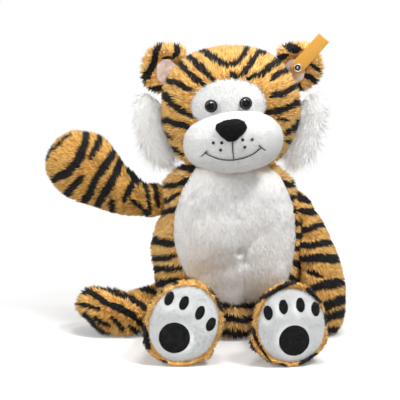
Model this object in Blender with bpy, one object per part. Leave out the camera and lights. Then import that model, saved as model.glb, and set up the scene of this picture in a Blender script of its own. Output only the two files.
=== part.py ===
"""Sitting plush tiger: sewn plush covers over stuffing, with a turning head, two arms, two legs and a tail.

The toy faces -Y and sits on z = 0. Left and right are as a person in front of the toy sees them, so left
is -X. Every plush form is one smooth loft: the cover is its outer 3 mm, open where it is sewn to the next
piece, and the stuffing is what lies inside. Each limb starts in a ball about its own pivot, and the ball
sits in a round hollow of the torso, so the limb swings without leaving its seat.
"""

import math

import bmesh
import bpy
from mathutils import Matrix, Vector
from mathutils.bvhtree import BVHTree

MM = 0.001

# Fabric and clearances
PILE = 3.0 * MM
SEAM_GAP = 0.3 * MM
SWING_GAP = 0.7 * MM
FLOOR_FLAT = 0.5 * MM
OVERRUN = 20.0 * MM

# Torso
BODY_HEIGHT = 170.0 * MM
BODY_HALF_WIDTH = 76.0 * MM
BODY_HALF_DEPTH = 60.0 * MM
BODY_LEAN = -3.0 * MM
TUMMY_HALF_WIDTH = 58.5 * MM
TUMMY_BOTTOM = 40.0 * MM
TUMMY_TOP = 184.0 * MM
TUMMY_SHIFT = 4.0 * MM
# height, half width and half depth
BODY_ROW_SHARES = (
    (0.0, 0.62, 0.60),
    (0.05, 0.80, 0.77),
    (0.15, 0.93, 0.90),
    (0.30, 1.0, 0.99),
    (0.47, 1.0, 1.0),
    (0.62, 0.965, 0.965),
    (0.76, 0.90, 0.90),
    (0.87, 0.805, 0.82),
    (0.95, 0.665, 0.70),
    (1.0, 0.50, 0.55),
    (1.05, 0.27, 0.33),
)

# Head
HEAD_HALF_WIDTH = 68.0 * MM
HEAD_HALF_HEIGHT = 60.0 * MM
HEAD_HALF_DEPTH = 58.0 * MM
HEAD_SINK = 6.0 * MM
HEAD_FORWARD = 8.0 * MM
FACE_ROLL = math.radians(5.0)
FACE_SHIFT = -1.5 * MM
MASK_HALF_WIDTH = 37.0 * MM
MASK_HALF_HEIGHT = 25.5 * MM
MASK_RISE = 12.0 * MM
HEAD_FULLNESS = 2.25

# Muzzle and nose
MUZZLE_HALF_WIDTH = 48.5 * MM
MUZZLE_HALF_HEIGHT = 29.5 * MM
MUZZLE_HALF_DEPTH = 43.0 * MM
MUZZLE_DROP = 23.0 * MM
MUZZLE_FORWARD = 44.0 * MM
MUZZLE_SHIFT = 2.5 * MM
MUZZLE_FULLNESS = 2.2
NOSE_HALF_WIDTH = 14.3 * MM
NOSE_HALF_HEIGHT = 11.8 * MM
NOSE_HALF_DEPTH = 10.0 * MM
NOSE_RISE = 15.5 * MM
NOSE_TAPER_SHARE = 0.28
NOSE_FULLNESS = 2.4

# Eyes, each a dome on a stem held by a washer inside the head
EYE_RADIUS = 6.0 * MM
EYE_DOME = 5.0 * MM
EYE_RIM = 1.2 * MM
EYE_SPACING = 33.0 * MM
EYE_RISE = 12.7 * MM
STEM_RADIUS = 1.6 * MM
WASHER_RADIUS = 6.5 * MM
WASHER_THICKNESS = 1.4 * MM
WASHER_PLAY = 0.3 * MM

# Embroidered mouth and whisker dots
THREAD_RADIUS = 0.6 * MM
SMILE_HALF_WIDTH = 27.5 * MM
SMILE_DROP = 5.5 * MM
SMILE_SAG = 6.2 * MM
LIP_TOP = 5.0 * MM
SMILE_TICK = 3.0 * MM
TICK_LEAN_SHARE = 0.4
LIFT_SHARE = 1.5
LIP_PASS_SHARE = 0.5
DOT_RADIUS = 1.4 * MM
DOT_HEIGHT = 0.8 * MM
DOT_SPACING = 8.5 * MM
DOT_OFFSET = 10.5 * MM
DOT_DROP_SHARE = 0.8

# Ears
EAR_HALF_WIDTH = 23.0 * MM
EAR_HALF_HEIGHT = 25.0 * MM
EAR_HALF_THICKNESS = 7.0 * MM
EAR_SPREAD = 68.0 * MM
EAR_RISE = 37.0 * MM
EAR_BACK = 6.0 * MM
EAR_FULLNESS = 2.3
LINING_SHARE = 0.6
LINING_THICKNESS = 1.6 * MM
HOLLOW_DEPTH = 4.0 * MM
LINING_INWARD_SHARE = 0.22

# Woven label and its rivet on the right ear
LABEL_WIDTH = 13.6 * MM
LABEL_LENGTH = 45.0 * MM
LABEL_THICKNESS = 0.9 * MM
LABEL_TURN = math.radians(41.0)
LABEL_END = 7.0 * MM
RIVET_RADIUS = 4.2 * MM
RIVET_HEIGHT = 1.6 * MM
RIVET_SHANK = 1.5 * MM
RIVET_RISE = 2.0 * MM
RIVET_INWARD = 2.0 * MM

# Cheek tufts behind the sides of the head
TUFT_HALF_WIDTH = 19.5 * MM
TUFT_HALF_HEIGHT = 42.0 * MM
TUFT_HALF_THICKNESS = 9.0 * MM
TUFT_SPREAD = 75.0 * MM
TUFT_DROP = 23.5 * MM
TUFT_BACK = 8.0 * MM
TUFT_TURN = math.radians(18.0)
TUFT_BELOW_NECK = 9.0 * MM

# Where any limb is sewn on
ROOT_HOLE_SHARE = 0.5
DOME_BLUNT_SHARE = 0.3

# Arms
ARM_LENGTH = 105.0 * MM
ARM_HALF_WIDTH = 33.5 * MM
ARM_HALF_THICKNESS = 24.0 * MM
ARM_BALL_RADIUS = 18.5 * MM
LEFT_SHOULDER = Vector((-77.0 * MM, 2.0 * MM, 128.5 * MM))
RIGHT_SHOULDER = Vector((63.0 * MM, 4.0 * MM, 116.0 * MM))
# places along the raised arm, from the shoulder, then half width and half thickness
LEFT_ARM_SHARES = (
    (0.0, 0.0, 0.0, 0.45, 0.64),
    (-0.14, 0.0, 0.013, 0.55, 0.70),
    (-0.27, -0.005, 0.068, 0.68, 0.82),
    (-0.41, -0.01, 0.168, 0.85, 0.93),
    (-0.57, -0.01, 0.265, 0.98, 1.0),
    (-0.74, -0.005, 0.335, 1.0, 1.0),
)
LEFT_ARM_DOME_SHARE = 0.27
# places along the hanging arm
RIGHT_ARM_SHARES = (
    (0.0, 0.0, 0.0, 0.45, 0.64),
    (0.067, -0.038, -0.114, 0.52, 0.73),
    (0.143, -0.095, -0.248, 0.60, 0.85),
    (0.214, -0.171, -0.438, 0.66, 1.0),
    (0.257, -0.238, -0.60, 0.67, 1.04),
    (0.276, -0.295, -0.752, 0.67, 1.04),
    (0.276, -0.333, -0.895, 0.64, 1.04),
)
RIGHT_ARM_DOME_SHARE = 0.225

# Legs
LEG_LENGTH = 85.0 * MM
LEG_BALL_RADIUS = 30.0 * MM
FOOT_HALF_WIDTH = 38.3 * MM
FOOT_HALF_HEIGHT = 42.5 * MM
LEFT_HIP_OUT = 46.0 * MM
RIGHT_HIP_OUT = 39.0 * MM
HIP_FORWARD = 60.0 * MM
HIP_HEIGHT = 32.0 * MM
SOLE_HEIGHT = 41.3 * MM
LEFT_SOLE_OUT = 45.0 * MM
RIGHT_SOLE_OUT = 56.5 * MM
LEFT_FOOT_ROLL = math.radians(29.0)
RIGHT_FOOT_ROLL = math.radians(-5.0)
# share of the way to the sole, half width and half height
LEG_ROW_SHARES = (
    (0.0, 0.72, 0.65),
    (0.20, 0.77, 0.70),
    (0.45, 0.84, 0.79),
    (0.68, 0.96, 0.945),
    (0.86, 1.0, 1.0),
    (0.96, 0.985, 0.985),
    (1.0, 0.945, 0.95),
)
SOLE_THICKNESS = 2.0 * MM
SOLE_INSET = 0.8 * MM
PAD_THICKNESS = 1.0 * MM
HEEL_PAD_RADIUS = 14.5 * MM
HEEL_PAD_DROP = 15.5 * MM
TOE_HALF_WIDTH = 4.7 * MM
TOE_HALF_HEIGHT = 6.8 * MM
TOE_ARC_HALF_WIDTH = 29.6 * MM
TOE_ARC_HALF_HEIGHT = 13.2 * MM
TOE_ARC_RISE = 3.9 * MM
TOE_STEP = math.radians(33.0)
TOE_COUNT = 4

# Tail
TAIL_LENGTH = 100.0 * MM
TAIL_RADIUS = 24.0 * MM
TAIL_BALL_RADIUS = 16.0 * MM
TAIL_ROOT = Vector((-50.0 * MM, 33.0 * MM, 26.0 * MM))
# places along the tail, from its root, then radius
TAIL_ROW_SHARES = (
    (0.0, 0.0, 0.0, 0.575),
    (-0.20, -0.14, -0.05, 0.665),
    (-0.34, -0.36, -0.066, 0.77),
    (-0.47, -0.60, -0.052, 0.88),
    (-0.62, -0.665, -0.039, 0.945),
    (-0.76, -0.655, -0.031, 0.97),
)
TAIL_DOME_SHARE = 0.30

# Mesh density
FORM_SEGMENTS = 20
LIMB_SEGMENTS = 14
BALL_SEGMENTS = 20
SMALL_SEGMENTS = 14
DOT_SEGMENTS = 8
SKIN_STEPS = 2
INSIDE_STEPS = 1
DOME_STEPS = 3
HEAD_SEGMENTS = 24
MUZZLE_SEGMENTS = 20
MUZZLE_INSIDE_SEGMENTS = 14
EAR_SEGMENTS = 16
TUFT_SEGMENTS = 14
COLUMN_SEGMENTS = 28
EYE_STEPS = 4
SMILE_POINTS = 12
LIP_POINTS = 4
THREAD_SIDES = 6
SLAB_SHARE = 4.0
WELD_SHARE = 0.001

NECK_HEIGHT = BODY_HEIGHT
HEAD_CENTRE = Vector((0.0, -HEAD_FORWARD, NECK_HEIGHT - HEAD_SINK + HEAD_HALF_HEIGHT))
FACE_CENTRE = HEAD_CENTRE + Vector((FACE_SHIFT, 0.0, 0.0))
FACE_TURN = Matrix.Rotation(-FACE_ROLL, 4, "Y")
MUZZLE_CENTRE = HEAD_CENTRE + Vector((MUZZLE_SHIFT, -MUZZLE_FORWARD, -MUZZLE_DROP))
ORIGIN = Vector((0.0, 0.0, 0.0))
X_AXIS = Vector((1.0, 0.0, 0.0))
Y_AXIS = Vector((0.0, 1.0, 0.0))
Z_AXIS = Vector((0.0, 0.0, 1.0))


def plain_material(name, colour, roughness, metallic=0.0):
    """A Principled material of one colour."""
    material = bpy.data.materials.new(name)
    material.use_nodes = True
    shader = material.node_tree.nodes["Principled BSDF"]
    shader.inputs["Base Color"].default_value = (*colour, 1.0)
    shader.inputs["Roughness"].default_value = roughness
    shader.inputs["Metallic"].default_value = metallic
    material.diffuse_color = (*colour, 1.0)
    return material


def mesh_object(name, bm):
    """A smooth-shaded object that holds the given mesh."""
    bmesh.ops.recalc_face_normals(bm, faces=bm.faces)
    mesh = bpy.data.meshes.new(name)
    bm.to_mesh(mesh)
    bm.free()
    mesh.shade_smooth()
    made = bpy.data.objects.new(name, mesh)
    bpy.context.scene.collection.objects.link(made)
    return made


def combine(target, tool, operation, keep_tool=False):
    """The target after a Boolean with the tool, with the tool taken away unless it is kept.

    The exact solver turns some of these nested shells inside out, so the manifold one is used.
    """
    modifier = target.modifiers.new("combine", "BOOLEAN")
    modifier.operation = operation
    modifier.solver = "MANIFOLD"
    modifier.object = tool
    depsgraph = bpy.context.evaluated_depsgraph_get()
    mesh = bpy.data.meshes.new_from_object(target.evaluated_get(depsgraph))
    target.modifiers.clear()
    old = target.data
    target.data = mesh
    bpy.data.meshes.remove(old)
    mesh.shade_smooth()
    if not keep_tool:
        discard(tool)
    return target


def discard(unwanted):
    """Remove a helper object and its mesh."""
    mesh = unwanted.data
    bpy.data.objects.remove(unwanted)
    bpy.data.meshes.remove(mesh)


def copy_of(source, name):
    """A second object with its own mesh."""
    twin = bpy.data.objects.new(name, source.data.copy())
    bpy.context.scene.collection.objects.link(twin)
    return twin


def finish(made, name, material, origin=ORIGIN):
    """Name a piece, give it its material and put its origin on its joint's pivot."""
    made.name = name
    made.data.name = name
    made.data.materials.clear()
    made.data.materials.append(material)
    made.data.transform(made.matrix_world)
    made.data.transform(Matrix.Translation(-origin))
    made.matrix_world = Matrix.Translation(origin)
    return made


def smooth_rows(rows, steps):
    """Catmull-Rom rows through the given rows of numbers."""
    padded = [rows[0], *rows, rows[-1]]
    result = []
    for index in range(len(rows) - 1):
        before, start, end, after = padded[index : index + 4]
        for step in range(steps):
            t = step / steps
            result.append(
                [
                    0.5 * (2 * b + (c - a) * t + (2 * a - 5 * b + 4 * c - d) * t * t
                           + (3 * b - a - 3 * c + d) * t * t * t)
                    for a, b, c, d in zip(before, start, end, after)
                ]
            )
    result.append(list(rows[-1]))
    return result


def loft(rings, segments):
    """A closed mesh through rings of (centre, half axis u, half axis v)."""
    bm = bmesh.new()
    angles = [math.tau * k / segments for k in range(segments)]
    loops = [
        [bm.verts.new(centre + across * math.cos(angle) + through * math.sin(angle)) for angle in angles]
        for centre, across, through in rings
    ]
    for first, second in zip(loops, loops[1:]):
        for k in range(segments):
            after = (k + 1) % segments
            bm.faces.new((first[k], first[after], second[after], second[k]))
    bm.faces.new(loops[0])
    bm.faces.new(loops[-1])
    return bm


def limb_rings(root, rows, reference, dome_length, steps):
    """Rings along a limb: rows hold offset x, y, z, half width and half thickness, in metres."""
    rows = smooth_rows(rows, steps)
    centres = [root + Vector(row[:3]) for row in rows]
    rings = []
    for index, row in enumerate(rows):
        ahead = centres[min(index + 1, len(rows) - 1)]
        behind = centres[max(index - 1, 0)]
        tangent = (ahead - behind).normalized()
        through = (reference - reference.dot(tangent) * tangent).normalized()
        across = tangent.cross(through)
        rings.append((centres[index], across * row[3], through * row[4]))
    if dome_length:
        centre, across, through = rings[-1]
        for step in range(1, DOME_STEPS + 1):
            angle = math.pi / 2 * step / (DOME_STEPS + DOME_BLUNT_SHARE)
            ahead = centre + tangent * dome_length * math.sin(angle)
            rings.append((ahead, across * math.cos(angle), through * math.cos(angle)))
    return rings


def sized(rows, length, half_width, half_thickness):
    """Shares of a limb turned into metres."""
    sizes = (length, length, length, half_width, half_thickness)
    return [[share * size for share, size in zip((*row[:4], row[-1]), sizes)] for row in rows]


def push(target, distance):
    """Move every vertex of an object along its normal, outward when positive."""
    bm = bmesh.new()
    bm.from_mesh(target.data)
    bm.normal_update()
    places = [vert.co + vert.normal * distance for vert in bm.verts]
    for vert, place in zip(bm.verts, places):
        vert.co = place
    bm.to_mesh(target.data)
    bm.free()
    return target


def pushed(source, name, distance):
    """A copy of an object, grown or shrunk along its normals."""
    return push(copy_of(source, name), distance)


def ellipsoid(name, centre, halves, segments, power=2.0, turn=None):
    """A round closed form with its poles up and down; a power over 2 makes it fuller."""
    bm = bmesh.new()
    bmesh.ops.create_uvsphere(bm, u_segments=segments, v_segments=segments // 2, radius=1.0)
    for vert in bm.verts:
        fuller = sum(abs(part) ** power for part in vert.co) ** (-1 / power)
        vert.co = Vector(part * fuller * half for part, half in zip(vert.co, halves))
    if turn:
        bmesh.ops.transform(bm, matrix=turn, verts=bm.verts)
    bmesh.ops.translate(bm, vec=centre, verts=bm.verts)
    return mesh_object(name, bm)


def ball(name, centre, radius, axis):
    """A ball with its poles on the joint's axis."""
    bm = bmesh.new()
    bmesh.ops.create_uvsphere(
        bm,
        u_segments=BALL_SEGMENTS,
        v_segments=BALL_SEGMENTS // 2,
        radius=radius,
        matrix=Matrix.Translation(centre) @ Z_AXIS.rotation_difference(axis).to_matrix().to_4x4(),
    )
    return mesh_object(name, bm)


def oval_column(name, centre, half_width, half_height, start, end, turn=None):
    """A column along Y, from start to end, with an oval outline in X and Z."""
    ends = [(Y_AXIS * (y - centre.y), X_AXIS * half_width, Z_AXIS * half_height) for y in (start, end)]
    bm = loft(ends, COLUMN_SEGMENTS)
    if turn:
        bmesh.ops.transform(bm, matrix=turn, verts=bm.verts)
    bmesh.ops.translate(bm, vec=centre, verts=bm.verts)
    return mesh_object(name, bm)


def disc(name, place, axis, radius, start, end, segments):
    """A short cylinder about an axis through the place, from start to end along that axis."""
    bm = bmesh.new()
    turn = Z_AXIS.rotation_difference(axis).to_matrix().to_4x4()
    middle = (start + end) / 2
    bmesh.ops.create_cone(
        bm,
        cap_ends=True,
        segments=segments,
        radius1=radius,
        radius2=radius,
        depth=end - start,
        matrix=Matrix.Translation(place) @ turn @ Matrix.Translation(Z_AXIS * middle),
    )
    return mesh_object(name, bm)


def slab(name, bottom, top):
    """A wide level slab, wider than the whole toy."""
    bm = bmesh.new()
    reach = BODY_HEIGHT * SLAB_SHARE
    middle = Matrix.Translation(Z_AXIS * (bottom + top) / 2)
    bmesh.ops.create_cube(bm, size=1.0, matrix=middle @ Matrix.Diagonal((reach, reach, top - bottom, 1.0)))
    return mesh_object(name, bm)


def cut_floor(target):
    """Cut a form flat where it rests."""
    return combine(target, slab("floor", -OVERRUN, 0.0), "DIFFERENCE")


def surface_finder(target):
    """A function that gives the point and normal of the target's front at a given x and z."""
    bm = bmesh.new()
    bm.from_mesh(target.data)
    tree = BVHTree.FromBMesh(bm)
    bm.free()

    def find(x, z):
        start = Vector((x, -BODY_HEIGHT, z))
        place, normal, _, _ = tree.ray_cast(start, Y_AXIS)
        return place, normal

    return find


def shell_of(outer, inner, name):
    """A cover: the outer form less the inner one."""
    return combine(copy_of(outer, name), inner, "DIFFERENCE", keep_tool=True)


def build_torso_form(steps=SKIN_STEPS):
    """The torso's outer form, from under the floor to above the neck plane, before anything is cut."""
    rings = []
    for height, width, depth in smooth_rows(BODY_ROW_SHARES, steps):
        centre = Vector((0.0, BODY_LEAN, height * (BODY_HEIGHT + FLOOR_FLAT) - FLOOR_FLAT))
        rings.append((centre, X_AXIS * width * BODY_HALF_WIDTH, Y_AXIS * depth * BODY_HALF_DEPTH))
    return mesh_object("torso_form", loft(rings, FORM_SEGMENTS))


def build_head_form():
    """The head's outer form before its base is cut."""
    halves = (HEAD_HALF_WIDTH, HEAD_HALF_DEPTH, HEAD_HALF_HEIGHT)
    return ellipsoid("head_form", HEAD_CENTRE, halves, HEAD_SEGMENTS, HEAD_FULLNESS)


def build_torso(torso_form, sockets, fabrics):
    """The striped torso cover, the white tummy panel and the stuffing, hollowed where the limbs sit."""
    inner = push(build_torso_form(INSIDE_STEPS), -PILE)
    core = push(build_torso_form(INSIDE_STEPS), -PILE - SEAM_GAP)
    cover = shell_of(torso_form, inner, "torso_shell")
    tummy_centre = Vector((TUMMY_SHIFT, 0.0, (TUMMY_TOP + TUMMY_BOTTOM) / 2))
    half_height = (TUMMY_TOP - TUMMY_BOTTOM) / 2
    front = -BODY_HALF_DEPTH - OVERRUN
    panel = combine(
        copy_of(cover, "panel_shell"),
        oval_column("oval", tummy_centre, TUMMY_HALF_WIDTH, half_height, front, -SEAM_GAP),
        "INTERSECT",
    )
    combine(
        cover,
        oval_column(
            "oval", tummy_centre, TUMMY_HALF_WIDTH + SEAM_GAP, half_height + SEAM_GAP, front, 0.0
        ),
        "DIFFERENCE",
    )
    above = slab("above", NECK_HEIGHT, NECK_HEIGHT + OVERRUN)
    for piece in (cover, panel, core):
        combine(piece, above, "DIFFERENCE", keep_tool=True)
    discard(above)
    for piece in (cover, panel, core):
        for socket in sockets:
            combine(piece, socket, "DIFFERENCE", keep_tool=True)
        cut_floor(piece)
    discard(inner)
    finish(cover, "torso_cover", fabrics["striped"])
    finish(panel, "tummy_panel", fabrics["white"])
    finish(core, "torso_stuffing", fabrics["stuffing"])


def limb_solid(name, limb, clearance, torso_form):
    """A limb's form: its loft, trimmed by the torso, with the root ball joined on."""
    rows, root, ball_radius, axis, reference, dome = limb
    steps = INSIDE_STEPS if clearance else SKIN_STEPS
    solid = mesh_object(name, loft(limb_rings(root, rows, reference, dome, steps), LIMB_SEGMENTS))
    push(solid, -clearance)
    combine(solid, pushed(torso_form, "blocker", SWING_GAP + clearance), "DIFFERENCE")
    return combine(solid, ball("root_ball", root, ball_radius - clearance, axis), "UNION")


def build_closed_limb(name, limb, torso_form, fabrics):
    """An arm or the tail: a cover open at its root, and its stuffing."""
    _, root, ball_radius, _, _, _ = limb
    outer = limb_solid(name, limb, 0.0, torso_form)
    inner = limb_solid("inner", limb, PILE, torso_form)
    core = limb_solid("core", limb, PILE + SEAM_GAP, torso_form)
    cover = shell_of(outer, inner, "shell")
    discard(inner)
    discard(outer)
    inward = Vector((-root.x, -root.y, 0.0)).normalized()
    hole = disc(
        "hole", root, inward, ball_radius * ROOT_HOLE_SHARE, 0.0, ball_radius + PILE, SMALL_SEGMENTS
    )
    combine(cover, hole, "DIFFERENCE")
    cut_floor(cover)
    cut_above(core, FLOOR_FLAT + SEAM_GAP)
    finish(cover, name + "_cover", fabrics["striped"], root)
    finish(core, name + "_stuffing", fabrics["stuffing"], root)


def cut_above(core, height):
    """Cut a stuffing flat a little above the floor, so that the cover closes under it."""
    return combine(core, slab("floor", -OVERRUN, height), "DIFFERENCE")


def build_leg(name, hip, sole_centre, roll, torso_form, fabrics):
    """A leg's cover open at the foot, its stuffing, the sole and the pads sewn on the sole."""
    way = sole_centre - hip
    reference = (Matrix.Rotation(roll, 3, "Y") @ Z_AXIS).normalized()
    rows = [
        [*(way * share), width * FOOT_HALF_WIDTH, height * FOOT_HALF_HEIGHT]
        for share, width, height in LEG_ROW_SHARES
    ]
    limb = (rows, hip, LEG_BALL_RADIUS, X_AXIS, reference, 0.0)
    _, end_across, end_through = limb_rings(hip, rows, reference, 0.0, INSIDE_STEPS)[-1]
    outer = limb_solid(name, limb, 0.0, torso_form)
    facing = way.normalized()
    recess = PILE + SEAM_GAP

    def sole_disc(label, shrink, start, end):
        wide = end_across.normalized() * (end_across.length - shrink)
        high = end_through.normalized() * (end_through.length - shrink)
        ends = [(sole_centre + facing * place, wide, high) for place in (start, end)]
        return mesh_object(label, loft(ends, LIMB_SEGMENTS))

    inner = limb_solid("inner", limb, PILE, torso_form)
    core = limb_solid("core", limb, PILE + SEAM_GAP, torso_form)
    cover = shell_of(outer, inner, "shell")
    combine(cover, sole_disc("mouth", PILE, -recess - SEAM_GAP, OVERRUN), "DIFFERENCE")
    discard(inner)
    discard(outer)
    sole = sole_disc("sole", recess, -SOLE_INSET - SOLE_THICKNESS, -SOLE_INSET)
    back = SOLE_INSET + SOLE_THICKNESS + SEAM_GAP
    combine(core, sole_disc("behind_sole", -OVERRUN, -back, OVERRUN), "DIFFERENCE")
    cut_floor(cover)
    cut_above(core, FLOOR_FLAT + SEAM_GAP)
    side = "left" if hip.x < 0 else "right"
    finish(cover, name + "_cover", fabrics["striped"], hip)
    finish(core, name + "_stuffing", fabrics["stuffing"], hip)
    finish(sole, "sole_" + side, fabrics["sole"], hip)

    up = end_through.normalized()
    across = up.cross(facing)
    seat = -SOLE_INSET + SEAM_GAP

    def pad(centre, half_width, half_height):
        ends = [
            (centre + facing * place, across * half_width, up * half_height)
            for place in (seat, seat + PAD_THICKNESS)
        ]
        return mesh_object("pad", loft(ends, LIMB_SEGMENTS))

    heel = pad(sole_centre - up * HEEL_PAD_DROP, HEEL_PAD_RADIUS, HEEL_PAD_RADIUS)
    finish(heel, "heel_pad_" + side, fabrics["black"], hip)
    for index in range(TOE_COUNT):
        angle = (index - (TOE_COUNT - 1) / 2) * TOE_STEP
        aside = across * TOE_ARC_HALF_WIDTH * math.sin(angle)
        above = up * (TOE_ARC_RISE + TOE_ARC_HALF_HEIGHT * math.cos(angle))
        toe = pad(sole_centre + aside + above, TOE_HALF_WIDTH, TOE_HALF_HEIGHT)
        finish(toe, f"toe_pad_{side}_{index + 1}", fabrics["black"], hip)


def build_head(head_form, fabrics):
    """The head cover, the white face panel, the stuffing, and the eyes with their washers."""
    inner = pushed(head_form, "head_inner", -PILE)
    core = pushed(head_form, "head_core", -PILE - SEAM_GAP)
    cover = shell_of(head_form, inner, "head_shell")
    discard(inner)
    mask_centre = FACE_CENTRE + Z_AXIS * MASK_RISE
    front = HEAD_CENTRE.y - HEAD_HALF_DEPTH - OVERRUN
    back = HEAD_CENTRE.y
    panel = combine(
        copy_of(cover, "mask_shell"),
        oval_column(
            "oval", mask_centre, MASK_HALF_WIDTH, MASK_HALF_HEIGHT, front, back - SEAM_GAP, FACE_TURN
        ),
        "INTERSECT",
    )
    combine(
        cover,
        oval_column(
            "oval",
            mask_centre,
            MASK_HALF_WIDTH + SEAM_GAP,
            MASK_HALF_HEIGHT + SEAM_GAP,
            front,
            back,
            FACE_TURN,
        ),
        "DIFFERENCE",
    )
    below = slab("below", -OVERRUN, NECK_HEIGHT + SWING_GAP)
    for piece in (cover, core):
        combine(piece, below, "DIFFERENCE", keep_tool=True)
    discard(below)

    find = surface_finder(head_form)
    for side, label in ((-1, "left"), (1, "right")):
        offset = FACE_TURN @ Vector((side * EYE_SPACING / 2, 0.0, EYE_RISE))
        place, normal = find(FACE_CENTRE.x + offset.x, FACE_CENTRE.z + offset.z)
        build_eye(label, place, normal, panel, core, fabrics)
    finish(cover, "head_cover", fabrics["striped"])
    finish(panel, "face_panel", fabrics["white"])
    finish(core, "head_stuffing", fabrics["stuffing"])


def build_eye(label, place, normal, panel, core, fabrics):
    """A domed eye whose stem passes through the face panel into a washer."""
    washer_front = -PILE - WASHER_PLAY
    washer_back = washer_front - WASHER_THICKNESS
    bm = bmesh.new()
    profile = [(0.0, SEAM_GAP + EYE_DOME)]
    for step in range(1, EYE_STEPS + 1):
        angle = math.pi / 2 * step / EYE_STEPS
        height = SEAM_GAP + EYE_RIM + (EYE_DOME - EYE_RIM) * math.cos(angle)
        profile.append((EYE_RADIUS * math.sin(angle), height))
    profile += [(EYE_RADIUS, SEAM_GAP), (STEM_RADIUS, SEAM_GAP)]
    profile += [(STEM_RADIUS, washer_back), (0.0, washer_back)]
    verts = [bm.verts.new((radius, 0.0, height)) for radius, height in profile]
    edges = [bm.edges.new(pair) for pair in zip(verts, verts[1:])]
    bmesh.ops.spin(
        bm, geom=verts + edges, cent=ORIGIN, axis=Z_AXIS, angle=math.tau, steps=SMALL_SEGMENTS,
        use_duplicate=False,
    )
    bmesh.ops.remove_doubles(bm, verts=bm.verts, dist=STEM_RADIUS * WELD_SHARE)
    turn = Z_AXIS.rotation_difference(normal).to_matrix().to_4x4()
    bmesh.ops.transform(bm, matrix=Matrix.Translation(place) @ turn, verts=bm.verts)
    finish(mesh_object("eye", bm), "eye_" + label, fabrics["eye"])
    washer = disc("washer", place, normal, WASHER_RADIUS, washer_back, washer_front, SMALL_SEGMENTS)
    hole = STEM_RADIUS + SEAM_GAP
    pocket = WASHER_RADIUS + SEAM_GAP
    for piece, radius, start, end in (
        (panel, hole, -PILE - OVERRUN, OVERRUN),
        (panel, pocket, -PILE - OVERRUN, washer_front + SEAM_GAP),
        (core, pocket, washer_back - SEAM_GAP, OVERRUN),
        (washer, hole, washer_back - OVERRUN, OVERRUN),
    ):
        combine(piece, disc("bore", place, normal, radius, start, end, SMALL_SEGMENTS), "DIFFERENCE")
    finish(washer, "eye_washer_" + label, fabrics["washer"])


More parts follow.
